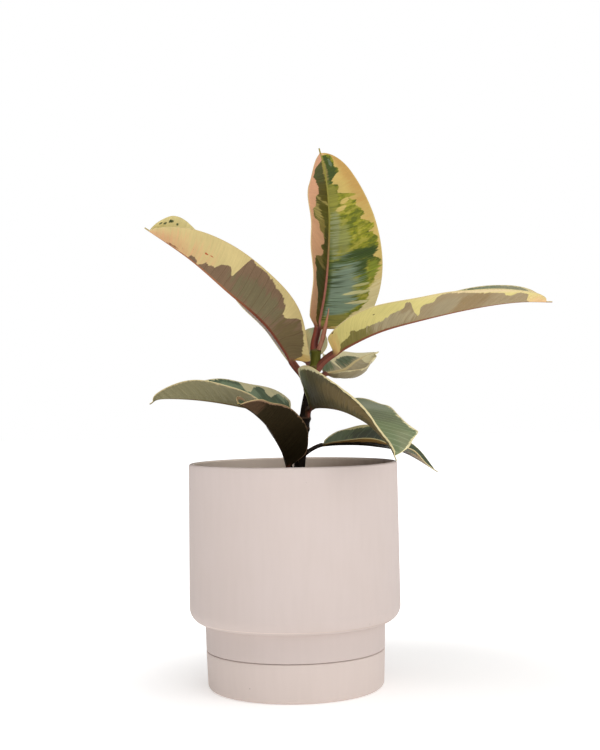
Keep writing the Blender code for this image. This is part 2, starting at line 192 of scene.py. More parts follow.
# Turned pieces: a profile of (radius, height) goes round the upright axis, not quite evenly, as in cast clay
def buildTurnedTree():
    tree, given, result = newShapeTree("turnedPiece", {"Steps": "Int", "Unevenness": "Float"})
    steps = out(given, "Steps")
    rows = add(tree, "AttributeDomainSize", out(given, "Geometry"))
    columns = add(tree, "Math", (steps, 1.0), "ADD")
    grid = add(tree, "MeshGrid", {"Vertices X": out(rows, "Point Count"), "Vertices Y": columns})
    index = add(tree, "InputIndex")
    row = add(tree, "Math", (index, columns), "DIVIDE")
    row = add(tree, "Math", row, "FLOOR")
    column = add(tree, "Math", (index, columns), "MODULO")
    points = add(tree, "InputPosition")
    profile = add(tree, "SampleIndex", {"Geometry": out(given, "Geometry"), "Value": points, "Index": row},
                  "FLOAT_VECTOR")
    parts = add(tree, "SeparateXYZ", profile)
    turn = add(tree, "Math", (column, steps), "DIVIDE")
    turn = add(tree, "Math", (turn, math.tau), "MULTIPLY")
    cosine, sine = (add(tree, "Math", turn, wave) for wave in ("COSINE", "SINE"))
    around = add(tree, "CombineXYZ", (cosine, sine, out(parts, "Z")))
    cast = add(tree, "TexNoise", (around, clay["castScale"], clay["castDetail"]))
    cast = add(tree, "Math", (cast, 0.5), "SUBTRACT")
    cast = add(tree, "Math", (cast, out(given, "Unevenness"), 1.0), "MULTIPLY_ADD")
    radius = add(tree, "Math", (out(parts, "X"), cast), "MULTIPLY")
    x, y = (add(tree, "Math", (radius, share), "MULTIPLY") for share in (cosine, sine))
    turned = add(tree, "CombineXYZ", (x, y, out(parts, "Z")))
    placed = add(tree, "SetPosition", {"Geometry": grid, "Position": turned})
    merged = add(tree, "MergeByDistance", {"Geometry": placed, "Distance": 0.01 * mm})
    return endShapeTree(tree, merged, given, result)


# Round lengths that follow a line, as thick at each point as "girth" says, with fine lengthwise wrinkles
def buildSweepTree():
    tree, given, result = newShapeTree("sweptPiece", {"Sides": "Int", "Wrinkle": "Float"})
    line = add(tree, "MeshToCurve", {"Mesh": out(given, "Geometry")})
    circle = add(tree, "CurvePrimitiveCircle", {"Resolution": out(given, "Sides"), "Radius": 1.0})
    girth = add(tree, "InputNamedAttribute", {"Name": "girth"}, "FLOAT")
    swept = add(tree, "CurveToMesh", {"Curve": line, "Profile Curve": circle, "Scale": girth,
                                      "Fill Caps": True})
    stretch = (1.0, 1.0, stem["wrinkleStretch"])
    squeezed = add(tree, "VectorMath", (add(tree, "InputPosition"), stretch), "MULTIPLY")
    bark = add(tree, "TexNoise", (squeezed, stem["wrinkleScale"], 3.0))
    bark = add(tree, "Math", (bark, 0.5), "SUBTRACT")
    bark = add(tree, "Math", (bark, out(given, "Wrinkle")), "MULTIPLY")
    shift = add(tree, "VectorMath", {0: add(tree, "InputNormal"), "Scale": bark}, "SCALE")
    placed = add(tree, "SetPosition", {"Geometry": swept, "Offset": shift})
    return endShapeTree(tree, placed, given, result)


# Loose bits lying on the soil, each turned and sized at random
def buildScatterTree():
    tree, given, result = newShapeTree("scatteredBits", {
        "Shapes": "Collection", "Density": "Float", "Seed": "Int", "Smallest": "Float", "Largest": "Float",
        "Edge Radius": "Float"})
    seed = out(given, "Seed")
    flat = add(tree, "VectorMath", (add(tree, "InputPosition"), (1.0, 1.0, 0.0)), "MULTIPLY")
    reach = add(tree, "VectorMath", flat, "LENGTH")
    up = add(tree, "SeparateXYZ", add(tree, "InputNormal"))
    faceUp = add(tree, "Math", (out(up, "Z"), 0.5), "GREATER_THAN")
    inside = add(tree, "Math", (reach, out(given, "Edge Radius")), "LESS_THAN")
    chosen = add(tree, "Math", (faceUp, inside), "MULTIPLY")
    points = add(tree, "DistributePointsOnFaces", {"Mesh": out(given, "Geometry"), "Selection": chosen,
                                                   "Density": out(given, "Density"), "Seed": seed})
    shapes = add(tree, "CollectionInfo", {"Collection": out(given, "Shapes"), "Separate Children": True,
                                          "Reset Children": True})
    turn = add(tree, "RandomValue", {"Max": (math.tau,) * 3, "Seed": seed}, "FLOAT_VECTOR")
    size = add(tree, "RandomValue", {"Min": out(given, "Smallest"), "Max": out(given, "Largest"),
                                     "Seed": soil["sizeSeed"]}, "FLOAT")
    bits = add(tree, "InstanceOnPoints", {"Points": out(points, "Points"), "Instance": shapes,
                                          "Pick Instance": True, "Rotation": turn, "Scale": size})
    shade = add(tree, "RandomValue", {"Seed": soil["shadeSeed"]}, "FLOAT")
    shaded = add(tree, "StoreNamedAttribute", {"Geometry": bits, "Name": "shade", "Value": shade}, "FLOAT",
                 domain="INSTANCE")
    return endShapeTree(tree, shaded, given, result)


def arcPoints(centre, radius, startDegrees, endDegrees, steps):
    angles = np.radians(np.linspace(startDegrees, endDegrees, steps + 1)).tolist()
    return [(centre[0] + radius * math.cos(a), centre[1] + radius * math.sin(a)) for a in angles]


def spreadPoints(start, end, count):  # points between two corners, so that long walls can be uneven
    return [(start[0] + (end[0] - start[0]) * i / count, start[1] + (end[1] - start[1]) * i / count)
            for i in range(1, count)]


# Matte stoneware, slip cast and fired without gloss: an even blush clay with a few iron specks that burnt
# through. Scales are waves per metre
clay = {
    "roughness": 0.72, "ior": 1.5, "steps": 192, "unevenness": 0.0022, "castScale": 2.2, "castDetail": 2.0,
    "cloudScale": 28.0, "dragScale": 240.0, "dragStretch": 0.12, "dragSpan": (0.35, 0.75, 0.0, 0.16),
    "speckCell": 11 * mm, "speckShare": 0.72, "speckSize": 0.042, "speckEdge": (-0.004, 0.012, 0.0, 0.8),
    "speck": "#55463d", "toothScale": 1400.0, "slowScale": 90.0, "slowDepth": 1.6, "speckDepth": -0.8,
    "relief": (0.22, 0.12), "sharpDegrees": 38,
}


def stonewareFinish(name, looks):
    material, tree = newMaterial(name, Roughness=clay["roughness"], IOR=clay["ior"])
    place = out(add(tree, "TexCoord"), "Object")
    upright = add(tree, "Mapping", {"Vector": place, "Scale": (1.0, 1.0, clay["dragStretch"])})
    cloud = add(tree, "TexNoise", (place, clay["cloudScale"], 3.0))
    drag = add(tree, "TexNoise", (upright, clay["dragScale"], 2.0))
    drag = add(tree, "MapRange", (drag, *clay["dragSpan"]))
    # specks of 0.4 to 0.9 mm, one in a few of the cells
    cells = add(tree, "TexVoronoi", (place, 1 / clay["speckCell"]))
    lot = add(tree, "SeparateColor", out(cells, "Color"))
    size = add(tree, "MapRange", (out(lot, "Red"), clay["speckShare"], 1.0, 0.0, clay["speckSize"]))
    speck = add(tree, "Math", (size, out(cells, "Distance")), "SUBTRACT")
    speck = add(tree, "MapRange", (speck, *clay["speckEdge"]))
    coats = [(cloud, looks["warm"]), (drag, looks["drag"]), (speck, clay["speck"])]
    if "stainAndPaintedShade" in looks:  # the inner wall is painted paler than the clay as painted light, because it lies in shade, and a brown over it darkens it lower down and towards +x: partly dried soil, partly painted shade of the leaves above
        parts = add(tree, "SeparateXYZ", place)
        x, y, z = (out(parts, axis) for axis in "XYZ")
        reach = add(tree, "VectorMath", add(tree, "CombineXYZ", (x, y)), "LENGTH")
        inner = add(tree, "MapRange", (reach, *looks["innerSpan"]))
        inside = add(tree, "Math", (z, looks["innerFoot"]), "GREATER_THAN")
        inner = add(tree, "Math", (inner, inside), "MULTIPLY")
        high = add(tree, "MapRange", (z, looks["stainShadeTop"], looks["stainShadeTop"] - looks["stainShadeFade"]))
        side = add(tree, "MapRange", (x, looks["lighterTo"], looks["darkerFrom"]))
        splash = add(tree, "TexNoise", (place, looks["splashScale"], 5.0))
        stainShadeMask = add(tree, "Math", (splash, looks["splash"], high), "MULTIPLY_ADD")
        stainShadeMask = add(tree, "MapRange", (stainShadeMask, *looks["stainShadeSpan"]))
        for limit in (inner, side):
            stainShadeMask = add(tree, "Math", (stainShadeMask, limit), "MULTIPLY")
        # the pale inner wall colour is painted light; the brown over it is partly dried soil, partly painted
        # shade
        coats += [(inner, looks["paintedLightWall"]), (stainShadeMask, looks["stainAndPaintedShade"])]
    # the tooth of the clay, the slow unevenness of the casting and the pits of the specks
    tooth = add(tree, "TexNoise", (place, clay["toothScale"], 3.0))
    slow = add(tree, "TexNoise", (upright, clay["slowScale"], 2.0))
    height = add(tree, "Math", (slow, clay["slowDepth"], tooth), "MULTIPLY_ADD")
    height = add(tree, "Math", (speck, clay["speckDepth"], height), "MULTIPLY_ADD")
    return finishMaterial(material, looks["body"], coats, height, *clay["relief"])


# Planter: the cup, the set-in neck under it and the foot ring that stands in the saucer. Millimetres, and
# metres for the places on the inner wall
planter = {
    "rimRadius": 80.0, "bodyRadius": 80.9, "bodyCorner": 12.0, "neckRadius": 69.0, "seamRadius": 68.4,
    "rimHeight": 171.4, "bodyBottom": 50.2, "seamHeight": 29.4, "wall": 4.0, "lip": 1.6, "floor": 6.0,
    "innerCorner": 9.0, "footRadius": 62.0, "footWall": 6.0, "drainRadius": 6.0, "gap": 0.3, "edge": 1.0,
    # on the inner wall: a pale colour that is painted light, and a brown that is partly dried soil and partly
    # painted shade, darker lower down and towards +x
    "body": "#d0c2bd", "warm": "#cdbeb7", "drag": "#c2b4ad", "paintedLightWall": "#f8e7da", "stainAndPaintedShade": "#80582e",
    "stainShadeTop": 170 * mm, "stainShadeFade": 10 * mm, "innerFoot": 53 * mm, "innerSpan": (77.1 * mm, 76.5 * mm),
    "lighterTo": 0.0, "darkerFrom": 65 * mm, "splashScale": 130.0, "splash": 0.5, "stainShadeSpan": (0.2, 1.1),
}
saucer = {
    "baseRadius": 67.5, "wall": 4.0, "floor": 6.0, "corner": 4.0, "innerCorner": 3.0,
    "body": "#d9cac3", "warm": "#d5c6be", "drag": "#cabbb3",
}


def turnedPiece(name, profile, finish, closed):
    points = [(r * mm, 0, z * mm) for r, z in profile]
    if closed:
        points.append(points[0])
    thing = newObject(name, points, [(i, i + 1) for i in range(len(points) - 1)], [])
    applyTree(thing, turnedTree, {"Steps": clay["steps"], "Unevenness": clay["unevenness"],
                                  "Finish": finish})
    return tidyMesh(thing, clay["sharpDegrees"])


def buildSaucer():
    outer, edge = planter["seamRadius"], planter["edge"]
    corner, inside = saucer["corner"], saucer["innerCorner"]
    top = planter["seamHeight"] - planter["gap"] - edge
    inner = outer - saucer["wall"]
    profile = [(0, 0)] + arcPoints((saucer["baseRadius"] - corner, corner), corner, -90, 0, 8)
    profile += spreadPoints(profile[-1], (outer, top), 6) + arcPoints((outer - edge, top), edge, 0, 90, 5)
    profile += arcPoints((inner + edge, top), edge, 90, 180, 5)
    profile += arcPoints((inner - inside, saucer["floor"] + inside), inside, 0, -90, 6)
    profile.append((0, saucer["floor"]))
    thing = turnedPiece("saucerBowl", profile, stonewareFinish("matteStonewareSaucer", saucer), False)
    return finishPiece(thing, "saucer_ceramic", "saucer")


def buildPlanter():
    p = planter
    foot, neck, seam, drain = (p[part + "Radius"] for part in ("foot", "neck", "seam", "drain"))
    under, edge, corner, lip, inside = (p[part] for part in ("bodyBottom", "edge", "bodyCorner", "lip",
                                                             "innerCorner"))
    footBottom = saucer["floor"] + p["gap"]
    floorTop, lipHeight = under + p["floor"], p["rimHeight"] - lip
    innerRadius, footInner = p["rimRadius"] - p["wall"], foot - p["footWall"]
    profile = [(foot - edge, footBottom), (foot, footBottom + edge), (foot, p["seamHeight"])]
    profile += arcPoints((seam - edge, p["seamHeight"] + edge), edge, -90, 0, 5)
    profile += spreadPoints(profile[-1], (neck, under), 5) + [(neck, under)]
    profile += arcPoints((p["bodyRadius"] - corner, under + corner), corner, -84, 0, 14)
    profile += spreadPoints(profile[-1], (p["rimRadius"], lipHeight), 14)
    profile += arcPoints((p["rimRadius"] - lip, lipHeight), lip, 0, 90, 6)
    profile += arcPoints((innerRadius + lip, lipHeight), lip, 90, 180, 6)
    profile += arcPoints((innerRadius - inside, floorTop + inside), inside, 0, -90, 6)
    profile += [(drain, floorTop), (drain, under), (footInner, under), (footInner, footBottom)]
    thing = turnedPiece("planterCup", profile, stonewareFinish("matteStonewarePlanter", p), True)
    return finishPiece(thing, "pot_ceramic", "pot")


turnedTree = buildTurnedTree()
buildSaucer()
buildPlanter()
print("planter and saucer turned")

# Potting mix: a bed with crumbs, bark chips and perlite lying on it. Millimetres
soil = {
    "radius": 75.7, "bottom": 56.5, "corner": 8.7, "depthBelowRim": 22.0,
    "lumpLengths": (9.0, 11.0), "smallLumps": 0.6, "smallLumpLengths": (4.3, 5.1),
    "mound": 2.5, "moundRadius": 30.0, "crumble": 0.9, "crumbleLength": 3.2,
    "rings": 64, "sides": 160, "dampScale": 45.0, "sizeSeed": 7, "shadeSeed": 11, "shapes": 3, "rough": 0.55,
    "roughScale": 2.3, "sharpDegrees": 35,
    "bits": {
        "soilCrumbs": {"count": 2600, "smallest": 0.9, "largest": 2.6, "seed": 3, "stretch": (1, 0.8, 0.7)},
        "barkChips": {"count": 110, "smallest": 2.6, "largest": 6.0, "seed": 5, "stretch": (1.2, 0.7, 0.32)},
        "perlite": {"count": 120, "smallest": 0.9, "largest": 1.9, "seed": 9, "stretch": (1, 0.9, 0.8)},
    },
}


def soilHeight(x, y):
    (a, b), (c, d), e = soil["lumpLengths"], soil["smallLumpLengths"], soil["crumbleLength"]
    lumps = math.sin(x / a + 0.6) * math.cos(y / b) + soil["smallLumps"] * math.sin(x / c - y / d + 1.2)
    mound = soil["mound"] * math.exp(-(x * x + y * y) / soil["moundRadius"] ** 2)
    crumble = soil["crumble"] * noise.fractal(Vector((x / e, y / e, 0.4)), 0.8, 2.0, 4)
    return planter["rimHeight"] - soil["depthBelowRim"] + lumps + mound + crumble


# How the bits look. "shade" is how much they differ from each other, "relief" is strength and millimetres
grit = {
    # Peat and composted bark: dull brown crumbs, dark where damp
    "peatPottingMix": {"roughness": 0.95, "ior": 1.4, "grain": (420.0, 4.0), "shade": 0.45,
                       "span": (0.3, 1.05), "tones": ("#2b1d14", "#6b5238"), "damp": "#47321f",
                       "relief": (0.9, 0.6)},
    # Composted pine bark, torn into flat fibrous chips
    "compostedBark": {"roughness": 0.85, "ior": 1.4, "grain": (700.0, 3.0), "shade": 0.6, "span": (0.0, 1.0),
                      "tones": ("#3a2416", "#7d5636"), "relief": (0.8, 0.4)},
    # Expanded volcanic glass: chalky white grains with fine pits, stained a little by the peat
    "perliteGrain": {"roughness": 0.9, "ior": 1.45, "grain": (1500.0, 3.0), "span": (0.0, 1.0),
                     "tones": ("#e4ded2", "#a3937c"), "relief": (0.7, 0.3)},
}


def gritFinish(name):
    looks = grit[name]
    material, tree = newMaterial(name, Roughness=looks["roughness"], IOR=looks["ior"])
    place = out(add(tree, "TexCoord"), "Object")
    shade = out(add(tree, "Attribute", attribute_name="shade"), "Fac")
    grain = add(tree, "TexNoise", (place, *looks["grain"]))
    weights = (looks["shade"], grain) if "shade" in looks else (grain, 0.0)
    amount = add(tree, "Math", (shade, *weights), "MULTIPLY_ADD")
    amount = add(tree, "MapRange", (amount, *looks["span"]))
    skin = add(tree, "Mix", (amount, *looks["tones"]), "RGBA")
    coats = []
    if "damp" in looks:
        coats.append((add(tree, "TexNoise", (place, soil["dampScale"], 2.0)), looks["damp"]))
    return finishMaterial(material, skin, coats, grain, *looks["relief"])


def buildSoilBed():
    rings = [soil["radius"] * (i / soil["rings"]) ** 0.8 for i in range(1, soil["rings"] + 1)]
    points = [(0, 0, soilHeight(0, 0))]
    for ring in rings:
        for x, y in arcPoints((0, 0), ring, 0, 360, soil["sides"])[:-1]:
            points.append((x, y, soilHeight(x, y)))
    corner = soil["corner"]
    below = arcPoints((soil["radius"] - corner, soil["bottom"] + corner), corner, 0, -90, 5)
    for ring, z in below:
        points += [(x, y, z) for x, y in arcPoints((0, 0), ring, 0, 360, soil["sides"])[:-1]]
    points.append((0, 0, soil["bottom"]))
    sides, count = soil["sides"], len(rings) + len(below)
    faces = []
    for k in range(sides):
        after = (k + 1) % sides
        faces.append((0, 1 + k, 1 + after))
        for ring in range(count - 1):
            a, b = 1 + ring * sides, 1 + (ring + 1) * sides
            faces.append((a + k, b + k, b + after, a + after))
        end = 1 + (count - 1) * sides
        faces.append((len(points) - 1, end + after, end + k))
    bed = newObject("soilBed", [[c * mm for c in p] for p in points], [], faces)
    bed.data.materials.append(gritFinish("peatPottingMix"))
    return finishPiece(tidyMesh(bed), "potting_soil", "soil")


def bitShapes(name, stretch, seed):  # rough lumps of 42 points each, one unit across
    shapes = bpy.data.collections.new(name + "Shapes")
    for number in range(soil["shapes"]):
        work = bmesh.new()
        bmesh.ops.create_icosphere(work, subdivisions=1, radius=0.5)
        for corner in work.verts:
            place = corner.co * soil["roughScale"] + Vector((seed * 3.1, number * 7.7, 0))
            rough = 1 + soil["rough"] * noise.noise(place)
            corner.co = Vector([c * rough * s for c, s in zip(corner.co, stretch)])
        mesh = bpy.data.meshes.new(f"{name}Shape{number}")
        work.to_mesh(mesh)
        work.free()
        shapes.objects.link(bpy.data.objects.new(mesh.name, mesh))
    return shapes


def buildBits(bed, name, values, finish):
    thing = newObject(name, [], [], [])
    thing.data = bed.data.copy()
    shapes = bitShapes(name, values["stretch"], values["seed"])
    area = math.pi * (soil["radius"] * mm) ** 2
    applyTree(thing, scatterTree, {
        "Shapes": shapes, "Density": values["count"] / area, "Seed": values["seed"],
        "Smallest": values["smallest"] * mm, "Largest": values["largest"] * mm,
        "Edge Radius": (soil["radius"] - values["largest"]) * mm, "Finish": finish})
    for shape in list(shapes.objects):
        bpy.data.objects.remove(shape)
    bpy.data.collections.remove(shapes)
    return finishPiece(smoothFaces(thing, soil["sharpDegrees"]), "potting_soil")


scatterTree = buildScatterTree()
soilBed = buildSoilBed()
for bitName, bitFinish in zip(soil["bits"], (soilBed.data.materials[0], gritFinish("compostedBark"),
                                             gritFinish("perliteGrain"))):
    buildBits(soilBed, bitName, soil["bits"][bitName], bitFinish)
print("soil laid")

# Stem: its line from the root end to the growing tip, in millimetres, as in the solids
stem = {
    "line": [(1, 0, 100), (2.5, 0, 150), (5, 0, 168), (7.8, 0, 190), (10.8, 0, 212), (15.2, 0, 232),
             (18.4, 0, 246), (18.9, 0, 259)],
    "baseRadius": 4.6, "topRadius": 3.9, "scarSwell": 0.75, "scarLength": 1.7, "swellAbove": 3,
    "roundLength": 4, "roundDepth": 0.75, "sides": 40, "rows": 260,
    "wrinkle": 0.35, "wrinkleStretch": 0.35, "wrinkleScale": 620.0,
    "wood": "#0c0602", "woodPale": "#201206", "green": "#42400c", "greenPale": "#6a6824",
    "scar": "#5c4434", "pore": "#8b7355", "greenFrom": 226, "greenTo": 240, "greenRagged": 22,
    "barkStretch": 0.2, "corkScale": 900.0, "cloudScale": 110.0, "scarHeight": 3.4,
    "scarSpan": (1.1 * mm, 0.3 * mm, 0.0, 0.6), "poreScale": 520.0, "poreSpan": (0.2, 0.1, 0.0, 0.35),
    "relief": (0.6, 0.25),
}
sheath = {
    "line": [(21.4, -2.8, 257.6), (22.2, -3.4, 260), (24.3, -4.2, 266), (27.2, -5, 277.5), (29.5, -5, 289)],
    "radius": 1.8, "tipRadius": 0.35, "fullShare": 0.35, "sides": 24, "rows": 80,
    "base": "#6d3028", "tip": "#c07a62", "fibre": "#c58a6c", "redTo": 262, "salmonFrom": 292,
    "tipRagged": 10, "fibreScale": 1100.0, "fibreStretch": 0.1, "relief": (0.4, 0.2), "wrinkle": 0.06,
}


curveSteps = 24


def smoothLine(points):  # close points along the Catmull-Rom curve, and the length run at each
    given = np.array(points, float)
    ends = np.vstack([2 * given[0] - given[1], given, 2 * given[-1] - given[-2]])
    row = []
    for a, b, c, d in zip(ends, ends[1:], ends[2:], ends[3:]):
        t = np.linspace(0, 1, curveSteps, endpoint=False)[:, None]
        bend = (2 * a - 5 * b + 4 * c - d) * t**2 + (3 * b - a - 3 * c + d) * t**3
        row.append(0.5 * (2 * b + (c - a) * t + bend))
    row = np.vstack(row + [given[-1:]])
    run = np.concatenate([[0], np.cumsum(np.linalg.norm(np.diff(row, axis=0), axis=1))])
    return row, run


def placeAlong(row, run, at):  # points and unit directions at these lengths
    def point(length):
        return np.stack([np.interp(length, run, row[:, axis]) for axis in range(3)], 1)
    step = run[-1] / 200
    direction = point(np.minimum(at + step, run[-1])) - point(np.maximum(at - step, 0))
    return point(at), direction / np.linalg.norm(direction, axis=1)[:, None]


def stemPoint(height):
    row, _ = smoothLine(stem["line"])
    return tuple(np.interp(height, row[:, 2], row[:, axis]) for axis in range(3))


def stemRadius(height, scarHeights):
    bottom, top = stem["line"][0][2], stem["line"][-1][2]
    taper = (stem["topRadius"] - stem["baseRadius"]) / (top - bottom)
    radius = stem["baseRadius"] + taper * (height - bottom)
    for scar in scarHeights:
        away = (height - scar - stem["swellAbove"]) / stem["scarLength"]
        radius += stem["scarSwell"] * math.exp(-(away**2))
    rounding = max(0.0, 1 - (top - height) / stem["roundLength"])
    return radius * math.sqrt(1 - stem["roundDepth"] * rounding**2)


def sweptPiece(name, line, rows, girthAt, sides, wrinkle, finish):
    row, run = smoothLine(line)
    centres, _ = placeAlong(row, run, np.linspace(0, run[-1], rows))
    thing = newObject(name, centres * mm, [(i, i + 1) for i in range(rows - 1)], [])
    girth = thing.data.attributes.new("girth", "FLOAT", "POINT")
    shares = np.linspace(0, 1, rows)
    girth.data.foreach_set("value", [girthAt(share, centre) * mm for share, centre in zip(shares, centres)])
    applyTree(thing, sweepTree, {"Sides": sides, "Wrinkle": wrinkle * mm, "Finish": finish})
    return tidyMesh(thing)


# Young wood: brown corky bark below, smooth green skin above, with a pale ring where each leaf sheath fell
def stemFinish(scarHeights):
    material, tree = newMaterial("youngStemBark", **{"Roughness": 0.6, "IOR": 1.45,
                                                     "Specular IOR Level": 0.15})
    place = out(add(tree, "TexCoord"), "Object")
    height = out(add(tree, "SeparateXYZ", place), "Z")
    lengthwise = add(tree, "Mapping", {"Vector": place, "Scale": (1.0, 1.0, stem["barkStretch"])})
    cork = add(tree, "TexNoise", (lengthwise, stem["corkScale"], 4.0))
    wood = add(tree, "Mix", (cork, stem["wood"], stem["woodPale"]), "RGBA")
    green = add(tree, "Mix", (cork, stem["green"], stem["greenPale"]), "RGBA")
    ragged = stem["greenRagged"]
    span = ((stem[end] + ragged / 2) * mm for end in ("greenFrom", "greenTo"))
    level = add(tree, "TexNoise", (place, stem["cloudScale"], 2.0))
    level = add(tree, "Math", (level, ragged * mm, height), "MULTIPLY_ADD")
    coats = [(add(tree, "MapRange", (level, *span)), green)]
    for scar in scarHeights:
        away = add(tree, "Math", (height, (scar + stem["scarHeight"]) * mm), "SUBTRACT")
        away = add(tree, "Math", away, "ABSOLUTE")
        coats.append((add(tree, "MapRange", (away, *stem["scarSpan"])), stem["scar"]))
    pores = add(tree, "TexVoronoi", (lengthwise, stem["poreScale"]))
    coats.append((add(tree, "MapRange", (pores, *stem["poreSpan"])), stem["pore"]))
    return finishMaterial(material, wood, coats, cork, *stem["relief"])


# The rolled sheath of the next leaf: thin waxy skin, deep red at its foot and salmon at its point
def sheathFinish():
    material, tree = newMaterial("redBudSheath", Roughness=0.42, IOR=1.45)
    place = out(add(tree, "TexCoord"), "Object")
    height = out(add(tree, "SeparateXYZ", place), "Z")
    lengthwise = add(tree, "Mapping", {"Vector": place, "Scale": (1.0, 1.0, sheath["fibreStretch"])})
    lines = add(tree, "TexNoise", (lengthwise, sheath["fibreScale"], 2.0))
    level = add(tree, "Math", (lines, sheath["tipRagged"] * mm, height), "MULTIPLY_ADD")
    tip = add(tree, "MapRange", (level, sheath["redTo"] * mm, sheath["salmonFrom"] * mm))
    coats = [(tip, sheath["tip"]), (lines, sheath["fibre"])]
    return finishMaterial(material, sheath["base"], coats, lines, *sheath["relief"])


def sheathGirth(share, centre):  # holds its thickness at first, then draws out to a fine point
    along = max(0.0, (share - sheath["fullShare"]) / (1 - sheath["fullShare"]))
    return sheath["radius"] + (sheath["tipRadius"] - sheath["radius"]) * along * along * (3 - 2 * along)


# What all the leaves share, in millimetres
blade = {
    "thickness": 0.8, "marginThickness": 0.6, "midribRadius": 1.5, "midribTipRadius": 0.5,
    "petioleRows": 18, "bladeRows": 120, "halfColumns": 20, "dripTip": 0.03, "tipRadius": 0.5,
    "wave": 1.2, "waves": 2.4, "groove": 0.45, "quilt": 0.14, "veinPitch": 6.6, "petioleStart": 3.0,
    "bulgeFullWidth": 12.0, "bulgeLength": 0.1, "petioleTurn": 82, "footSwell": 0.28, "footLength": 3.5,
    "flatFrom": 0.06, "acrossPower": 1.5, "ribHeight": 1.35, "grooveWidth": 1.3, "grooveFade": 0.6,
    "evenRows": 0.3, "wavePhases": (0.37, 0.2), "quiltFrom": 4.0, "tiltFrom": 3.0, "lobePower": 6,
}

# What holds for a leaf whose own dictionary says nothing else
usualLeaf = {
    "stalk": 2.5, "fullest": 0.66, "blunt": 0.6, "lobe": 6, "face": (0, 0, 1), "twist": (0, 0, 0),
    "leftBulge": (0.5, 0), "rightBulge": (0.5, 0), "leftCurl": (0, 0, 0), "rightCurl": (0, 0, 0),
    "veinLean": 0.42, "veinCurl": 0.006,
}

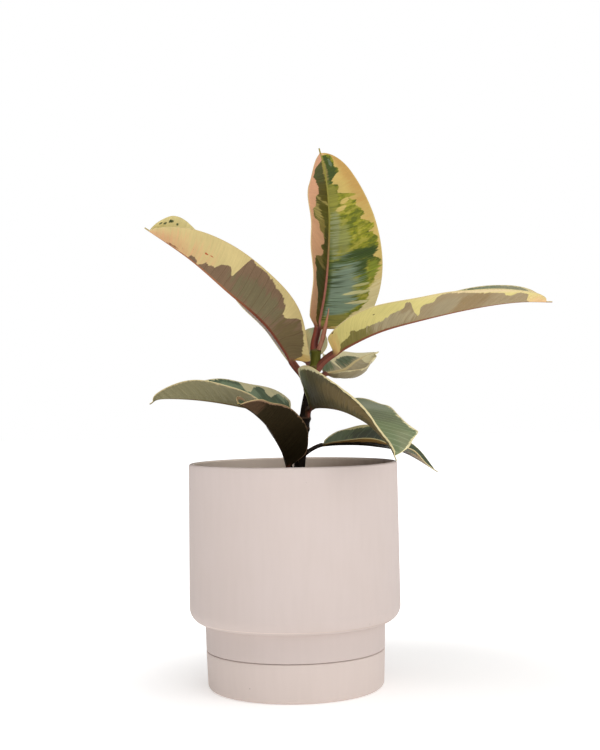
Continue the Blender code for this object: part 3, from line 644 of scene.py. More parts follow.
# One dictionary for each leaf, from the oldest to the youngest. The shape is as in the solids. "zone" is how
# far the green reaches from the midrib to the margin, as (place along the blade, share of the half's width)
# in percent. Patches, tints and marks are a colour, the place along and across with the left half negative,
# half the length and half the width, all in percent, and how softly they end. Combs are a colour, start, end
# and reach in percent, and mottles a colour, the amount and the noise they start and end at
leaves = {
    "leaf_1_low_front": dict(
        stemHeight=150, petiole=[(-3, -12, 169)], midrib=[(-9, -32, 185), (-17, -55, 200), (-27, -78, 211),
        (-37, -100, 218)], halfWidth=24, face=(0.15, 0.43, 0.89), left=(38, 33, 25), leftBulge=(0.93, 6),
        right=(56, 52, 44), rightBulge=(0.93, 4),
        zone={"left": [(0, 90), (20, 98), (50, 98), (62, 94), (75, 90), (90, 86), (100, 40)],
            "right": [(0, 80), (30, 95), (60, 80), (75, 70), (90, 75), (100, 40)]},
        upper={"pale": "#8a6a48", "green": "#3b4a2c", "petiole": "#241a10",
            "patches": [("#5d7048", 40, 40, 20, 30)]},
        # the lower side's dark browns are painted shade: this underside is painted as dark as it is in shadow
        lower={"pale": "#8c7058", "green": "#2c2415", "rib": "#2e2416", "rim": "#7c6446", "vein": "#443722",
            "veinAmount": 0.15, "petiole": "#241a10", "patches": [("#7c6452", 95, -5, 20, 40),
            ("#4a3828", 90, -50, 14, 60)]}),
    "leaf_2_low_right": dict(
        stemHeight=176, petiole=[(22, 4, 184)], midrib=[(42, 8, 185), (64, 14, 183), (88, 20, 177),
        (114, 24, 161)], halfWidth=32, stalk=1.6, fullest=0.95, blunt=0.75, lobe=2, left=(10, 28, 20),
        leftBulge=(0.18, 4), right=(12, 5, -3),
        zone={"left": [(0, 50), (8, 84), (20, 93), (30, 90), (38, 86), (45, 92), (60, 96), (72, 80),
            (76, 94), (90, 92), (100, 50)],
            "right": [(0, 30), (10, 40), (20, 42), (30, 50), (42, 70), (50, 88), (60, 94), (90, 90),
            (100, 50)]},
        upper={"pale": "#bdb484", "green": "#515e3b", "vein": "#6b7a5e", "petiole": "#241a10",
            "patches": [("#2b311c", 42, -50, 16, 36, 0.3), ("#3f4a2c", 85, -50, 20, 60, 0.3)]},
        lower={"pale": "#b58c4a", "green": "#2a2212", "rib": "#1f160b", "petiole": "#241a10",
            "rim": "#a88a50", "patches": [("#a08a62", 85, 70, 18, 50), ("#56603a", 68, 75, 6, 30)]}),
    "leaf_3_low_left": dict(
        stemHeight=194, petiole=[(0, -3, 206)], midrib=[(-41, -8, 216), (-72, -10, 221), (-100, -8, 222),
        (-109, -8, 218)], halfWidth=32, stalk=2.2, lobe=8, left=(-27, 28, 32), right=(35, 36, 30),
        zone={"left": [(0, 60), (5, 92), (30, 95), (70, 96.5), (95, 93), (100, 50)],
            "right": [(0, 50), (5, 84), (10, 90), (14, 84), (17, 66), (20, 70), (23, 88), (28, 92),
            (30, 70), (33, 62), (37, 85), (42, 97), (60, 95), (95, 90), (100, 40)]},
        upper={"pale": "#d0c89c", "green": "#536249", "petiole": "#4c3023", "vein": "#70835f",
            "veinAmount": 0.5, "patches": [("#79886c", 29, 60, 4, 30), ("#808f72", 10, 80, 4, 12),
            ("#7f8d70", 36, 30, 6, 35), ("#748467", 45, 75, 9, 12), ("#6f8558", 60, -40, 20, 40)]},
        lower={"pale": "#b8a47c", "green": "#7c7656", "petiole": "#4c3023", "rib": "#6b5c3e",
            "vein": "#9c956f", "rim": "#a3966e", "veinAmount": 0.35}),
    "leaf_4_front_right": dict(
        stemHeight=202, petiole=[(15, -9, 213.5)], midrib=[(33, -60, 213), (50, -90, 205), (60, -103, 196),
        (68, -110, 186), (72, -113, 177)], halfWidth=38, fullest=0.8, blunt=0.45, lobe=4, left=(12, 3, 0),
        leftBulge=(0.84, 17), right=(66, 50, 48), rightBulge=(0.84, -17), veinLean=0.7,
        zone={"left": [(0, 70), (10, 95), (40, 97), (60, 97), (70, 96.5), (78, 94), (84, 95), (90, 88),
            (95, 80), (100, 30)],
            "right": [(0, 60), (5, 90), (15, 92), (25, 95), (38, 90), (50, 93), (60, 96), (68, 93),
            (76, 86), (85, 75), (95, 60), (100, 20)]},
        upper={"pale": "#e2d7a8", "green": "#66734e", "vein": "#a2ac8a", "veinAmount": 0.9,
            "petiole": "#48301f", "mottles": [("#56603f", 0.35, -0.2, -0.8)],
            "patches": [("#7d8470", 35, -60, 25, 40, 0.4), ("#5c6448", 62, -50, 10, 50, 0.4),
            ("#797e5c", 90, -70, 8, 30, 0.3)]},
        lower={"pale": "#d8cda0", "green": "#524b30", "petiole": "#48301f", "rib": "#54442c",
            "vein": "#7d6c4c", "veinAmount": 0.45, "patches": [("#5a5c30", 12, 85, 16, 30),
            ("#6b5c3b", 60, 50, 25, 30)]}),
    "leaf_5_upper_left": dict(
        stemHeight=224, petiole=[(9.5, -7, 236), (1, -10, 247.5)], midrib=[(-18.8, -16, 276.2),
        (-47.5, -20, 302.5), (-76, -20, 328), (-110, -15, 352)], halfWidth=31.5, stalk=2.8,
        face=(0.41, 0.64, 0.65), twist=(0, 0, -90), fullest=0.8, blunt=0.5, lobe=38, left=(50, 50, 65),
        leftBulge=(0.1, -6), right=(50, 50, 76), rightBulge=(0.91, 7), veinLean=0.04,
        zone={"left": [(0, 68), (5, 74), (10, 84), (16, 92), (19, 93), (20.3, 70), (21.5, 56), (23.5, 62),
            (26, 76), (30, 86), (33, 87), (38, 95), (43, 96), (45.5, 93), (48, 98), (49.7, 97), (50.7, 60),
            (51.7, 36), (53, 40), (54.5, 50), (57, 48), (59.5, 38), (60.5, 24), (64, 19), (66.5, 8),
            (68, 4), (69.5, 13), (72.5, 12), (74, 0), (100, 0)],
            "right": [(0, 50), (10, 70), (30, 75), (45, 50), (60, 35), (70, 10), (80, 0), (100, 0)]},
        upper={"pale": "#d8c98c", "green": "#5e6e38", "veinAmount": 0.2,
            "marks": [("#4c5a30", 87.3, 73, 0.7, 6), ("#34421f", 90.2, 76, 0.8, 9),
            ("#5f6440", 92.3, 66, 0.6, 7), ("#767650", 93.8, 72, 0.5, 7)]},
        lower={"pale": "#c6b37c", "green": "#78614b", "rib": "#6a3624", "vein": "#5a4630",
            "veinAmount": 0.5, "ribTip": "#99684a", "petiole": "#5d3426",
            "tints": [("#c79c70", 100, 0, 30, 70), ("#a8823e", 0, -50, 6, 120)],
            "patches": [("#6f654a", 35, -36, 15, 30), ("#66573a", 7, -40, 13, 60)],
            "marks": [("#a8502c", 67.2, -42, 1.2, 2.5), ("#a8502c", 64.5, -44, 0.8, 1.2),
            ("#8a6044", 83, -8, 3, 4)]}),
    "leaf_6_back_right": dict(
        stemHeight=228, petiole=[(26, 14, 239)], midrib=[(42, 34, 243), (52, 52, 250), (62, 68, 255),
        (72, 80, 258)], halfWidth=23, stalk=2.2, lobe=0, left=(50, 26, 5), leftBulge=(0.12, -6),
        right=(-70, -60, -20), rightCurl=(140, 130, 60), rightBulge=(0.8, -4),
        zone={"left": [(0, 95), (20, 95), (24.5, 90), (26, 30), (28, 5), (30, 25), (36, 50), (50, 55),
            (60, 50), (66, 25), (70, 0), (100, 0)],
            "right": [(0, 80), (10, 97), (50, 95), (60, 70), (66, 20), (70, 0), (100, 0)]},
        upper={"pale": "#ddd3a6", "green": "#b3a684", "rib": "#d2bf8a", "vein": "#7d735a",
            "veinAmount": 0.3, "patches": [("#52613f", 50, -35, 20, 30, 0.4),
            ("#5c6b46", 10, -50, 15, 40, 0.4)]},
        lower={"pale": "#d0c69a", "green": "#9c8f70", "rib": "#b5a070", "vein": "#746a50",
            "patches": [("#7c8468", 50, -30, 15, 25)]}),
    "leaf_7_back": dict(
        stemHeight=236, petiole=[(16, 22, 243), (13, 42, 249)], midrib=[(13, 60, 255), (13, 80, 263),
        (12, 97, 271), (11, 110, 279)], halfWidth=22, stalk=2.2, left=(12, 50, 50), right=(30, 50, 50),
        zone={"left": [(0, 60), (20, 70), (40, 50), (60, 45), (75, 10), (85, 0), (100, 0)],
            "right": [(0, 50), (20, 40), (30, 10), (40, 0), (100, 0)]},
        upper={"pale": "#cbbd8e", "paleLeft": "#c9c396", "green": "#6c7a58", "rib": "#c2a96c",
            "veinAmount": 0.2, "tints": [("#b1b592", 65, 85, 40, 40)]},
        lower={"pale": "#c8b98c", "green": "#7c7a5c", "patches": [("#7c7a5c", 50, -70, 20, 20)]}),
    "leaf_8_upper_right": dict(
        stemHeight=241, petiole=[(31.5, -4.5, 253.5)], midrib=[(65, -12, 270), (103, -15, 280),
        (142, -10, 288), (174, -5, 292), (202, 0, 292)], halfWidth=38, stalk=2.9, face=(-0.25, 0, 0.97),
        fullest=0.8, blunt=0.5, lobe=9, left=(25, 28, 45), leftBulge=(0.92, 4), right=(35, 23, 15),
        rightBulge=(0.6, -4.5), veinLean=0.3,
        zone={"left": [(0, 40), (10, 70), (30, 80), (50, 85), (70, 97), (85, 98), (90, 90), (93, 40),
            (95, 0), (100, 0)],
            "right": [(0, 0), (3, 3), (5, 16), (7, 34), (10, 36), (12, 42), (13.5, 53), (15, 42), (20, 37),
            (25, 40), (28, 47), (30, 55), (33, 62), (35, 68), (36.5, 88), (37.5, 90), (38.2, 60), (39, 35),
            (40, 25), (40.8, 36), (41.5, 58), (44, 65), (46, 73), (47.5, 92), (50, 97), (55, 93), (60, 90),
            (66, 84), (70, 80), (75, 76), (78, 60), (80, 70), (83, 85), (86, 80), (87.5, 30), (90, 5),
            (100, 0)]},
        upper={"pale": "#d6c896", "green": "#8d8c70", "vein": "#a3a184",
            "tints": [("#d8b07c", 100, 0, 10, 200)], "patches": [("#5c6844", 62, -85, 12, 14),
            ("#7d8468", 75, -90, 5, 12)]},
        lower={"pale": "#d3c57c", "green": "#998663", "rib": "#85503a", "vein": "#84744e",
            "petiole": "#8c5244", "veinAmount": 0.25, "bump": 0.2, "tints": [("#dcb282", 100, 0, 13, 200),
            ("#cfa868", 0, 0, 3, 120), ("#dcc69a", 65, 100, 17, 20)],
            "patches": [("#80763e", 10, 20, 11, 40), ("#a39473", 30, 30, 9, 30), ("#8d7650", 62, 30, 7, 60),
            ("#998a6a", 50, 35, 5, 40), ("#94805f", 36, 70, 1.2, 25)],
            "marks": [("#4a3c22", 8.5, 97, 0.6, 2), ("#6b5a30", 24, 72, 0.4, 2)]}),
    "leaf_9_upright": dict(
        stemHeight=254, petiole=[(18, 1, 262), (20.5, 1.8, 273)], midrib=[(27, 6, 305), (30, 8, 335),
        (31, 7, 362), (29, 1, 390), (24, -12, 411)], halfWidth=43, stalk=2.9, face=(0.5, -0.85, 0),
        left=(40, 40, 0), leftBulge=(0.06, -5), right=(30, 30, 15), veinLean=0.08, veinCurl=0.006,
        patchLean=0.3,
        zone={"left": [(0, 20), (5, 38), (10, 46), (16, 50), (20, 62), (22, 74), (27, 80), (30, 76),
            (33, 84), (36, 80), (37.7, 75), (38.5, 52), (39.5, 40), (42, 30), (44, 44), (45.5, 38),
            (47.5, 25), (50, 28), (52, 36), (53.5, 50), (58, 56), (60.5, 70), (62.5, 85), (66, 86),
            (68, 70), (70, 65), (74, 64), (75.5, 46), (79, 48), (83, 60), (86, 72), (89, 84), (91, 80),
            (92.5, 40), (94, 0), (100, 0)],
            "right": [(0, 50), (5, 62), (10, 62), (13, 66), (16, 77), (19, 78), (22, 84), (25, 78),
            (30, 88), (34, 90), (38, 95), (41, 96), (42.5, 86), (45, 92), (50, 97), (53, 94), (54.5, 84),
            (57, 92), (59.5, 88), (61, 72), (64, 80), (67, 70), (70, 66), (72.5, 76), (73.5, 66),
            (71.5, 55), (74.5, 30), (77, 36), (78.5, 38), (79, 20), (81, 22), (84, 42), (86, 62),
            (87.5, 52), (90, 64), (92, 72), (94.5, 80), (95.5, 40), (96.5, 0), (100, 0)]},
        # The left half's darker, warmer pale and green are painted shade: that half turns away from the light
        upper={"pale": "#c6ab60", "paleLeft": "#c49270", "green": "#7f8014", "greenLeft": "#4a4514",
            "rib": "#b07060", "ribTip": "#8c8436", "vein": "#a0a656", "veinAmount": 0.08,
            "petiole": "#8d4638", "streak": 0.9, "tints": [("#b8914e", 85, 90, 20, 30),
            ("#cb927a", 97, 0, 5, 70), ("#cfc08c", 20, 90, 12, 30)], "combs": [("#2c3c10", 5, 42, 42),
            ("#6c7028", 42, 70, 30)], "mottles": [("#aaa03c", 0.65, 0.15, 0.45),
            # the grey-green patch at 53 along is partly variegation, partly a painted sheen of reflected
            # light
            ("#4c5806", 0.75, -0.05, -0.35)], "patches": [("#868a5c", 53, 12, 13, 12, 0.3),
            ("#848746", 50, 30, 8, 10, 0.4), ("#87842f", 73, 12, 8, 16), ("#bfa95e", 66, 30, 1.2, 12),
            ("#c1a95c", 70, 42, 1.2, 12), ("#38490f", 87, 25, 8, 28), ("#5b6a4c", 90, 40, 1.8, 9),
            ("#2f4208", 43, 66, 3.5, 42), ("#44581a", 37.5, 30, 2.5, 34), ("#56650f", 31, 67, 5, 9),
            ("#35470d", 36.5, 58, 5.5, 16, 0.25), ("#77801c", 36, 83, 4, 10),
            # the grey-green patches at 25, 14 and 17 along are partly variegation, partly a painted sheen of
            # reflected light
            ("#73846e", 25, 28, 13, 30, 0.35), ("#768a72", 14, 30, 5, 26, 0.3),
            ("#45541c", 22, 3, 19, 6, 0.5), ("#72856c", 17, 52, 3, 16), ("#bfb684", 19, 64, 0.9, 18),
            ("#b5b07c", 23.5, 60, 0.8, 20), ("#a8a468", 27.5, 66, 0.7, 14), ("#7b762e", 4.5, 35, 5, 40),
            # from here the left half's patches: their own dark variegation, made darker and warmer as painted
            # shade
            ("#554a16", 7, -20, 10, 40), ("#3a360c", 27, -40, 12, 45), ("#6c5c30", 36.5, -50, 3, 28),
            ("#38320a", 48, -16, 6, 22), ("#7a6a34", 56, -38, 6, 16), ("#8c7e46", 65, -62, 5, 20),
            ("#8e8048", 71.5, -32, 1.2, 36), ("#4c4412", 76, -30, 5, 30), ("#45481c", 88, -45, 6, 42),
            ("#8a7a40", 87, 0, 7, 11, 0.3)]},
        lower={"pale": "#cdb988", "green": "#7d7858", "rib": "#a87060", "petiole": "#7d3a30"}),
}


def throughThree(values, u):  # the smooth curve with these values at the base, the middle and the tip
    base, middle, tip = values
    return base + (4 * middle - 3 * base - tip) * u + 2 * (base - 2 * middle + tip) * u * u


def bladeHalfWidth(leaf, u):
    body = np.clip(u / (1 - blade["dripTip"]), 0, 1)
    outline = np.sin(math.pi * body ** leaf["fullest"]) ** leaf["blunt"]
    return np.maximum(leaf["halfWidth"] * outline, leaf["stalk"] + (blade["tipRadius"] - leaf["stalk"]) * u)


def bladeFrames(leaf, directions, u):
    face = np.array(leaf["face"], float)
    up = face - (directions @ face)[:, None] * directions
    up /= np.linalg.norm(up, axis=1)[:, None]
    right = np.cross(directions, up)
    twist = np.radians(throughThree(leaf["twist"], u))[:, None]
    return up * np.cos(twist) + right * np.sin(twist), right * np.cos(twist) - up * np.sin(twist)


# Upper and lower points of a leaf, as rows by columns from the left margin to the right one, with what the
# finish reads at each: place along and across, and the line of the side veins
def leafSheets(leaf, number):
    half = blade["halfColumns"]
    row, run = smoothLine([stemPoint(leaf["stemHeight"])] + leaf["petiole"] + leaf["midrib"])
    bladeStart = run[curveSteps * len(leaf["petiole"])]
    even = np.linspace(0, 1, blade["bladeRows"])
    shares = blade["evenRows"] * even + (1 - blade["evenRows"]) / 2 * (1 - np.cos(math.pi * even))
    petioleAt = np.linspace(blade["petioleStart"], bladeStart, blade["petioleRows"], endpoint=False)
    at = np.concatenate([petioleAt, bladeStart + shares * (run[-1] - bladeStart)])
    u = np.concatenate([np.zeros(len(petioleAt)), shares])
    centres, directions = placeAlong(row, run, at)
    up, right = bladeFrames(leaf, directions, u)
    stalk = leaf["stalk"]
    width = np.where(at < bladeStart, stalk, bladeHalfWidth(leaf, u))[:, None]
    flat = np.clip(u / blade["flatFrom"], 0, 1)
    flat = (flat * flat * (3 - 2 * flat))[:, None]
    # thicker where it leaves the stem
    away = (at - blade["petioleStart"]) / blade["footLength"]
    foot = 1 + blade["footSwell"] * np.exp(-(away**2))[:, None]
    step = np.arange(half + 1)
    turn = np.radians(blade["petioleTurn"]) * step / half
    roundOut = foot * stalk * np.sin(turn)[None, :]
    roundUp = foot * stalk * np.cos(turn)[None, :]
    across = (step / half)[None, :] ** blade["acrossPower"]
    outward = width * across
    rib = (blade["midribRadius"] + (blade["midribTipRadius"] - blade["midribRadius"]) * u)[:, None]
    thickness = blade["thickness"] + (blade["marginThickness"] - blade["thickness"]) * across
    under = np.maximum(thickness, blade["ribHeight"] * np.sqrt(np.maximum(rib**2 - outward**2, 0)))
    along = (at - bladeStart)[:, None]
    veinLine = along - leaf["veinLean"] * outward - leaf["veinCurl"] * outward**2
    sizes = (len(at), 2 * half + 1)
    upper, lower = np.zeros((*sizes, 3)), np.zeros((*sizes, 3))
    bladeValues, veinValues = np.zeros((*sizes, 3)), np.zeros((*sizes, 3))
    for side, sign in (("left", -1), ("right", 1)):
        bulgePlace, bulge = leaf[side + "Bulge"]
        swell = 1 + bulge * np.exp(-(((u - bulgePlace) / blade["bulgeLength"]) ** 2))[:, None] / np.maximum(
            width, blade["bulgeFullWidth"])
        rise = np.radians(throughThree(leaf[side], u))[:, None]
        curl = np.radians(throughThree(leaf[side + "Curl"], u))[:, None] + 1e-6
        angle = rise + curl * across
        sheetOut = swell * width / curl * (np.sin(angle) - np.sin(rise))
        sheetUp = swell * width / curl * (np.cos(rise) - np.cos(angle))
        phase = np.dot(blade["wavePhases"], (number, sign))
        wave = blade["wave"] * np.sin(math.tau * (blade["waves"] * u + phase))[:, None]
        wave = wave * across**2 * flat * width / leaf["halfWidth"]
        quilt = blade["quilt"] * np.cos(math.tau * veinLine / blade["veinPitch"])
        wave = wave + quilt * np.clip(outward / blade["quiltFrom"], 0, 1) * flat * (1 - across**4)
        back = leaf["lobe"] * across**2 * (1 - u[:, None]) ** blade["lobePower"]
        back = back * width / leaf["halfWidth"] * flat
        tilt = angle * np.clip(outward / blade["tiltFrom"], 0, 1)
        groove = blade["groove"] * np.exp(-((outward / blade["grooveWidth"]) ** 2))
        groove = groove * (1 - blade["grooveFade"] * u[:, None])
        for target, depth, roundSign in ((upper, groove, 1), (lower, under, -1)):
            flatOut = sheetOut - (wave - depth) * np.sin(tilt)
            flatUp = sheetUp + (wave - depth) * np.cos(tilt)
            x = flat * flatOut + (1 - flat) * roundOut
            z = flat * flatUp + (1 - flat) * roundSign * roundUp
            target[:, half + sign * step] = (
                centres[:, None] + sign * x[..., None] * right[:, None] + z[..., None] * up[:, None]
                - back[..., None] * directions[:, None])
        columns = half + sign * step
        bladeValues[:, columns, 0] = np.where(at < bladeStart, (at - bladeStart) / 100, u)[:, None]
        bladeValues[:, columns, 1] = sign * across
        bladeValues[:, columns, 2] = 1 - np.clip(flat * 1.6, 0, 1)
        veinValues[:, columns, 0] = veinLine
        veinValues[:, columns, 1] = sign * outward
        veinValues[:, columns, 2] = outward / np.maximum(rib, 0.1)
    return upper, lower, bladeValues, veinValues


def buildLeaf(name, leaf, number):
    upper, lower, bladeValues, veinValues = leafSheets(leaf, number)
    rows, columns = upper.shape[:2]
    top = np.arange(rows * columns).reshape(rows, columns)
    low = top + rows * columns
    last, end = columns - 1, rows - 1

    def strips(a, b, c, d):
        return np.stack([a, b, c, d], -1).reshape(-1, 4).tolist()
    upperFaces = strips(top[:-1, :-1], top[:-1, 1:], top[1:, 1:], top[1:, :-1])
    lowerFaces = strips(low[:-1, :-1], low[1:, :-1], low[1:, 1:], low[:-1, 1:])
    rimFaces = strips(top[:-1, 0], top[1:, 0], low[1:, 0], low[:-1, 0])
    rimFaces += strips(top[:-1, last], low[:-1, last], low[1:, last], top[1:, last])
    rimFaces += strips(top[0, :-1], low[0, :-1], low[0, 1:], top[0, 1:])
    rimFaces += strips(top[end, :-1], top[end, 1:], low[end, 1:], low[end, :-1])
    points = np.concatenate([upper.reshape(-1, 3), lower.reshape(-1, 3)]) * mm
    thing = newObject(name.replace("leaf_", "leafSkin_"), points, [], upperFaces + lowerFaces + rimFaces)
    for label, values in (("blade", bladeValues), ("veins", veinValues)):
        attribute = thing.data.attributes.new(label, "FLOAT_VECTOR", "POINT")
        both = np.tile(values.reshape(-1, 3), (2, 1))
        attribute.data.foreach_set("vector", both.ravel().astype(np.float32))
    smoothFaces(thing)
    for way, side in (("upper", upperSide), ("lower", lowerSide)):
        thing.data.materials.append(leafFinish(f"{name}_{way}", leaf, {**side, **leaf[way]}, number))
    slots = [0] * len(upperFaces) + [1] * len(lowerFaces) + [0] * len(rimFaces)
    thing.data.polygons.foreach_set("material_index", slots)
    return finishPiece(thing, name, name)


# The two skins of the leaf. The upper one is waxed and glossier, the lower one dull with raised veins
upperSide = {"comb": 0.045, "roughness": 0.36, "gloss": 0.3, "bump": 0.25, "veinHeight": -0.5,
             "veinAmount": 0.5, "streak": 0.3, "rib": "#a89a5c", "rim": "#cdbb86", "vein": "#8e9c78",
             "petiole": "#6d3a2c", "channel": "#5a2c22", "speck": "#6b5a3c",
             "tints": [], "mottles": [], "patches": [], "combs": [], "marks": []}
lowerSide = {**upperSide, "comb": 0.015, "roughness": 0.5, "gloss": 0.12, "bump": 0.35, "veinHeight": 0.8,
             "veinAmount": 0.4, "streak": 0.35, "rib": "#7a5040", "rim": "#c0a678", "vein": "#6a5f48",
             "channel": "#7a4638"}


# How the skin of every leaf is drawn. Noises are (millimetres along the leaf, along the side veins, detail)
# and the depths of "edge" are shares of the half's width
skinLooks = {
    "noises": {"Fray": (2.6, 15.0, 4.0), "Lobes": (9.0, 9.0, 2.0), "Streak": (1.1, 26.0, 2.0),
               "Cloud": (16.0, 14.0, 3.0), "Mottle": (3.4, 7.0, 2.0)},
    "roughNoise": 0.6, "noiseSpan": (0.25, 0.75, -1.0, 1.0), "leafStep": 7.3,
    "veinWobble": 0.7, "veinHalf": 0.42, "fineVeins": 5, "fineVeinHalf": 0.3, "fineVeinShare": 0.35,
    "speckCell": 4.0, "speckLots": (0.7, 1.0, 0.0, 0.13), "speckEdge": 0.05, "speckShare": 0.35,
    "patchFray": 0.3, "patchStreak": 0.45, "patchSoft": 0.16, "tintSoft": 0.5,
    "edge": {"Fray": 0.05, "Lobes": 0.02}, "edgeSpan": (-0.008, 0.014), "paleStreak": 0.08,
    "greenStreak": 0.3, "cloudDepth": 0.06, "combSpan": (-0.05, -0.4, 0.0, 0.85), "combEnd": 0.03,
    "rimSpan": (0.972, 0.992, 0.0, 0.6), "ribTipSpan": (0.3, 0.55), "ribSpan": (1.15, 0.75),
    "channelSpan": (0.12, 0.5), "ior": 1.42, "relief": 0.25,
}


# Reads a leaf's own place values and gives the noises that follow its side veins
def buildVeinPattern():
    labels = ("Along", "Share", "Across", "Right Half", "Petiole", "Rib", "Fray", "Lobes", "Streak", "Cloud",
              "Mottle", "Vein", "Fine Vein", "Speck")
    group, given, result = newTree("veinPattern", "Shader", {"Number": "Float"},
                                   dict.fromkeys(labels, "Float"))
    bladeValue, veinValue = (
        add(group, "SeparateXYZ", out(add(group, "Attribute", attribute_name=label), "Vector"))
        for label in ("blade", "veins"))
    share, veinLine = out(bladeValue, "Y"), out(veinValue, "X")
    made = {"Along": out(bladeValue, "X"), "Share": share, "Petiole": out(bladeValue, "Z"),
            "Across": add(group, "Math", share, "ABSOLUTE"),
            "Right Half": add(group, "Math", (share, 0.0), "GREATER_THAN"), "Rib": out(veinValue, "Z")}
    # no two leaves are alike
    layer = add(group, "Math", (out(given, "Number"), skinLooks["leafStep"]), "MULTIPLY")
    field = add(group, "CombineXYZ", (veinLine, out(veinValue, "Y"), layer))
    for label, (lengthwise, crosswise, detail) in skinLooks["noises"].items():
        scaled = add(group, "VectorMath", (field, (1 / lengthwise, 1 / crosswise, 1.0)), "MULTIPLY")
        wave = add(group, "TexNoise", (scaled, 1.0, detail, skinLooks["roughNoise"]))
        made[label] = add(group, "MapRange", (wave, *skinLooks["noiseSpan"]))
    # side veins as the distance to the nearest line of the vein spacing
    wobble = add(group, "Math", (made["Cloud"], skinLooks["veinWobble"], veinLine), "MULTIPLY_ADD")
    for label, parts, halfWidth in (("Vein", 1, skinLooks["veinHalf"]),
                                    ("Fine Vein", skinLooks["fineVeins"], skinLooks["fineVeinHalf"])):
        nearest = add(group, "Math", (wobble, blade["veinPitch"] / parts / 2), "PINGPONG")
        made[label] = add(group, "MapRange", (nearest, halfWidth, 0.0))
    # small spots in some of the cells
    perCell = 1 / skinLooks["speckCell"]
    cells = add(group, "VectorMath", (field, (perCell, perCell, 1.0)), "MULTIPLY")
    dots = add(group, "TexVoronoi", (cells, 1.0))
    lot = add(group, "SeparateColor", out(dots, "Color"))
    size = add(group, "MapRange", (out(lot, "Green"), *skinLooks["speckLots"]))
    near = add(group, "Math", (size, out(dots, "Distance")), "SUBTRACT")
    made["Speck"] = add(group, "MapRange", (near, 0.0, skinLooks["speckEdge"]))
    for label, source in made.items():
        source = source if isinstance(source, bpy.types.NodeSocket) else socketOf(source.outputs, 0)
        group.links.new(source, result.inputs[label])
    return group


# A rough oval somewhere on the blade
def buildPatchPattern():
    labels = ("Along", "Share", "Fray", "Streak", "Slant", "Soft", "Centre Along", "Centre Share",
              "Half Along", "Half Share")
    group, given, result = newTree("patchPattern", "Shader", dict.fromkeys(labels, "Float"),
                                   {"Mask": "Float"})
    share, centreShare = out(given, "Share"), out(given, "Centre Share")
    across, centreAcross = (add(group, "Math", place, "ABSOLUTE") for place in (share, centreShare))
    lean = add(group, "Math", (across, centreAcross), "SUBTRACT")
    lean = add(group, "Math", (lean, out(given, "Slant")), "MULTIPLY")
    leaned = add(group, "Math", (out(given, "Along"), lean), "SUBTRACT")
    squares = []
    for way, place in (("Along", leaned), ("Share", share)):
        away = add(group, "Math", (place, out(given, "Centre " + way)), "SUBTRACT")
        away = add(group, "Math", (away, out(given, "Half " + way)), "DIVIDE")
        squares.append(add(group, "Math", (away, away), "MULTIPLY"))
    reach = add(group, "Math", add(group, "Math", tuple(squares), "ADD"), "SQRT")
    rough = add(group, "Math", (out(given, "Fray"), skinLooks["patchFray"], 1.0), "MULTIPLY_ADD")
    rough = add(group, "Math", (out(given, "Streak"), skinLooks["patchStreak"], rough), "MULTIPLY_ADD")
    edge = add(group, "Math", (rough, reach), "SUBTRACT")
    edge = add(group, "Math", (edge, out(given, "Soft")), "DIVIDE")
    mask = add(group, "MapRange", (edge, -1.0, 1.0))
    # a patch with its centre in one half stops at the midrib
    sameSide = add(group, "Math", (share, centreShare), "MULTIPLY")
    sameSide = add(group, "Math", (sameSide, -1e-6), "GREATER_THAN")
    mask = add(group, "Math", (mask, sameSide), "MULTIPLY")
    group.links.new(socketOf(mask.outputs, 0), result.inputs["Mask"])
    return group


veinPattern = buildVeinPattern()
patchPattern = buildPatchPattern()


# Places are along, across and the two half sizes in percent, and perhaps how softly it ends
def patchMask(tree, lines, slant, *places):
    shares = [place / 100 for place in places[:4]]
    given = {label: out(lines, label) for label in ("Along", "Share", "Fray", "Streak")}
    given.update(zip(("Centre Along", "Centre Share", "Half Along", "Half Share"), shares))
    given.update({"Slant": slant, "Soft": places[4] if places[4:] else skinLooks["patchSoft"]})
    return add(tree, "Group", given, node_tree=patchPattern)


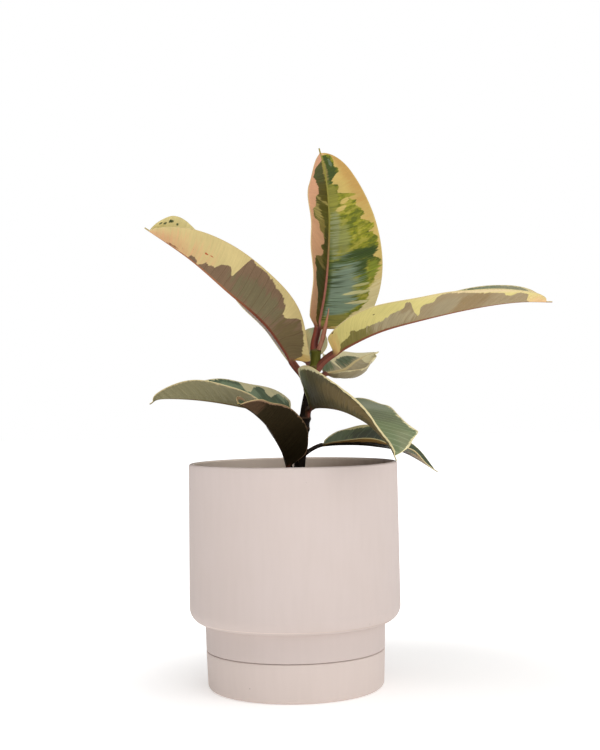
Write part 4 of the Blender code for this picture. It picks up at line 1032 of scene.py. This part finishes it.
# Variegated fig leaf: leathery skin, with green only where the cells kept it, in ragged steps along the veins
def leafFinish(name, leaf, looks, number):
    material, tree = newMaterial(name, **{"Roughness": looks["roughness"], "IOR": skinLooks["ior"],
                                          "Specular IOR Level": looks["gloss"]})
    lines = add(tree, "Group", {"Number": float(number)}, node_tree=veinPattern)
    along, across, rightHalf, streaks, vein, fineVein = (
        out(lines, label) for label in ("Along", "Across", "Right Half", "Streak", "Vein", "Fine Vein"))
    length = sum(math.dist(a, b) for a, b in zip(leaf["midrib"], leaf["midrib"][1:]))
    length += math.dist(leaf["petiole"][-1], leaf["midrib"][0])
    slant = leaf.get("patchLean", leaf["veinLean"]) * leaf["halfWidth"] / length
    # a leaf may give its left half its own pale and green; on the upright leaf these are painted shade
    pale = add(tree, "Mix", (rightHalf, looks.get("paleLeft", looks["pale"]), looks["pale"]), "RGBA")
    for tint, *places in looks["tints"]:
        mask = patchMask(tree, lines, slant, *places, skinLooks["tintSoft"])
        pale = add(tree, "Mix", (mask, pale, tint), "RGBA")
    # the green part reaches from the midrib to a ragged edge, further in one half than in the other
    curves = ([(x / 100, y / 100) for x, y in leaf["zone"][half]] for half in ("left", "right"))
    reaches = (add(tree, "FloatCurve", {"Value": along}, points=curve) for curve in curves)
    reach = add(tree, "Mix", (rightHalf, *reaches), "FLOAT")
    edge = add(tree, "Math", (reach, across), "SUBTRACT")
    for label, depth in {**skinLooks["edge"], "Streak": looks["comb"]}.items():
        edge = add(tree, "Math", (out(lines, label), depth, edge), "MULTIPLY_ADD")
    zone = add(tree, "MapRange", (edge, *skinLooks["edgeSpan"]))
    green = looks["green"]
    for tone, amount, start, end in looks["mottles"]:  # the green changes from cell to cell
        blotch = add(tree, "MapRange", (out(lines, "Mottle"), start, end, 0.0, amount))
        green = add(tree, "Mix", (blotch, green, tone), "RGBA")
    green = add(tree, "Mix", (rightHalf, looks.get("greenLeft", green), green), "RGBA")
    for tint, *places in looks["patches"]:
        green = add(tree, "Mix", (patchMask(tree, lines, slant, *places), green, tint), "RGBA")
    skin = add(tree, "Mix", (zone, pale, green), "RGBA")
    # light and dark streaks along the veins, and slow clouds
    depth = add(tree, "MapRange", (zone, 0.0, 1.0, skinLooks["paleStreak"],
                                   skinLooks["greenStreak"] * looks["streak"]))
    shade = add(tree, "Math", (streaks, depth, 1.0), "MULTIPLY_ADD")
    shade = add(tree, "Math", (out(lines, "Cloud"), skinLooks["cloudDepth"], shade), "MULTIPLY_ADD")
    skin = add(tree, "VectorMath", {0: skin, "Scale": shade}, "SCALE")
    veined = add(tree, "Math", (fineVein, skinLooks["fineVeinShare"], vein), "MULTIPLY_ADD")
    for share in (zone, looks["veinAmount"]):
        veined = add(tree, "Math", (veined, share), "MULTIPLY")
    coats = [(veined, looks["vein"])]
    for tone, *places in looks["combs"]:  # thin dark lines along the veins
        start, end, length = (place / 100 for place in places)
        lined = add(tree, "MapRange", (streaks, *skinLooks["combSpan"]))
        fade = add(tree, "MapRange", (across, length, length / 4))
        begins = add(tree, "MapRange", (along, start, start + skinLooks["combEnd"]))
        ends = add(tree, "MapRange", (along, end, end - skinLooks["combEnd"]))
        for limit in (fade, begins, ends, rightHalf):
            lined = add(tree, "Math", (lined, limit), "MULTIPLY")
        coats.append((lined, tone))
    for tint, *places in looks["marks"]:  # scars and spots, on pale and green parts alike
        coats.append((patchMask(tree, lines, slant, *places), tint))
    # small spots, the thin paler rim, the midrib and the petiole, which is darker along its channel
    specks = add(tree, "Math", (out(lines, "Speck"), skinLooks["speckShare"]), "MULTIPLY")
    coats.append((specks, looks["speck"]))
    coats.append((add(tree, "MapRange", (across, *skinLooks["rimSpan"])), looks["rim"]))
    outer = add(tree, "MapRange", (along, *skinLooks["ribTipSpan"]))
    ribTone = add(tree, "Mix", (outer, looks["rib"], looks.get("ribTip", looks["rib"])), "RGBA")
    coats.append((add(tree, "MapRange", (out(lines, "Rib"), *skinLooks["ribSpan"])), ribTone))
    channel = add(tree, "MapRange", (across, *skinLooks["channelSpan"]))
    stalk = add(tree, "Mix", (channel, looks["channel"], looks["petiole"]), "RGBA")
    coats.append((out(lines, "Petiole"), stalk))
    relief = add(tree, "Math", (vein, looks["veinHeight"], streaks), "MULTIPLY_ADD")
    relief = add(tree, "Math", (fineVein, looks["veinHeight"] / 2, relief), "MULTIPLY_ADD")
    return finishMaterial(material, skin, coats, relief, looks["bump"], skinLooks["relief"])


sweepTree = buildSweepTree()
scarHeights = [leaf["stemHeight"] for leaf in leaves.values()]
stemPiece = sweptPiece("stemWood", stem["line"], stem["rows"],
                       lambda share, centre: stemRadius(centre[2], scarHeights), stem["sides"],
                       stem["wrinkle"], stemFinish(scarHeights))
finishPiece(stemPiece, "stem_bark", "stem")
sheathPiece = sweptPiece("budSheathSkin", sheath["line"], sheath["rows"], sheathGirth, sheath["sides"],
                         sheath["wrinkle"], sheathFinish())
finishPiece(sheathPiece, "sheath_skin", "bud_sheath")
print("stem and sheath swept")
for number, (name, leaf) in enumerate(leaves.items()):
    buildLeaf(name, {**usualLeaf, **leaf}, number)
print("leaves grown")


# Studio: a pale floor, soft boxes and the camera at the photograph's angle
studio = {
    "floorSize": 12.0, "floorTone": "#f4f3f2", "floorCloud": "#f1f0ef", "floorCloudScale": 3.0,
    "glowSpan": (0.12, 0.38, 0.33, 0.85), "glowCentre": (0.06, 0.0, 0.0),
    "ambientLeast": 0.06, "ambientMost": 0.84, "brightSide": (0.72, -0.65, 0.25),
    "lights": {
        "keyFrontRight": {"place": (1.4, -0.75, 0.85), "size": 0.9, "power": 2.5},
        "frontSoft": {"place": (0.2, -1.65, 0.6), "size": 0.7, "power": 1.5},
        "topSoft": {"place": (-0.1, -0.4, 1.55), "size": 1.1, "power": 7.0},
    },
    "aim": (0.0, 0.0, 0.2),
}
camera = {"place": (0.0065, -1.033, 0.223), "pitch": 90.85, "roll": -0.9, "focal": 1340.0,
          "frameHeight": 750.0, "sensor": 36.0}


def buildFloor():
    half = studio["floorSize"] / 2
    corners = [(-half, -half, 0), (half, -half, 0), (half, half, 0), (-half, half, 0)]
    floor = newObject("studioFloor", corners, [], [(0, 1, 2, 3)])
    material, tree = newMaterial("paintedFloor", Roughness=0.9)  # matt white emulsion
    shader = tree.nodes["Principled BSDF"]
    place = out(add(tree, "TexCoord"), "Object")
    cloud = add(tree, "TexNoise", (place, studio["floorCloudScale"], 2.0))
    tone = add(tree, "Mix", (cloud, studio["floorTone"], studio["floorCloud"]), "RGBA")
    tree.links.new(socketOf(tone.outputs, 0), shader.inputs["Base Color"])
    # the floor glows with painted light that rises with distance from a point just right of the planter, so
    # that it ends in white all round
    away = add(tree, "VectorMath", (place, studio["glowCentre"]), "SUBTRACT")
    away = add(tree, "VectorMath", away, "LENGTH")
    glow = add(tree, "MapRange", (away, *studio["glowSpan"]), interpolation_type="SMOOTHSTEP")
    shader.inputs["Emission Color"].default_value = colour("#ffffff")
    tree.links.new(socketOf(glow.outputs, 0), shader.inputs["Emission Strength"])
    floor.data.materials.append(material)


def buildLights():
    for name, values in studio["lights"].items():
        light = bpy.data.lights.new(name, "AREA")
        light.size, light.energy = values["size"], values["power"]
        thing = bpy.data.objects.new(name, light)
        scene.collection.objects.link(thing)
        thing.location = values["place"]
        away = Vector(values["place"]) - Vector(studio["aim"])
        thing.rotation_euler = away.to_track_quat("Z", "Y").to_euler()
    scene.world = bpy.data.worlds.new("studioWorld")
    scene.world.use_nodes = True
    tree = scene.world.node_tree
    background = next(node for node in tree.nodes if node.type == "BACKGROUND")
    # the room is brighter in front and to the right, as with a large soft box beside the camera
    toward = add(tree, "VectorMath", (out(add(tree, "TexCoord"), "Generated"), studio["brightSide"]),
                 "DOT_PRODUCT")
    ambient = add(tree, "MapRange", (toward, -1.0, 1.0, studio["ambientLeast"], studio["ambientMost"]))
    seen = out(add(tree, "LightPath"), "Is Camera Ray")
    strength = add(tree, "MapRange", (seen, 0.0, 1.0, ambient, 1.0))
    background.inputs["Color"].default_value = colour("#ffffff")
    tree.links.new(socketOf(strength.outputs, 0), background.inputs["Strength"])


def buildCamera():
    lens = bpy.data.cameras.new("studioCamera")
    lens.sensor_width = camera["sensor"]
    lens.lens = camera["focal"] / camera["frameHeight"] * camera["sensor"]
    thing = bpy.data.objects.new("studioCamera", lens)
    scene.collection.objects.link(thing)
    turn = Matrix.Rotation(math.radians(camera["pitch"]), 4, "X") @ Matrix.Rotation(
        math.radians(camera["roll"]), 4, "Z")
    thing.matrix_world = Matrix.Translation(camera["place"]) @ turn
    scene.camera = thing


buildFloor()
buildLights()
buildCamera()
print("studio set")
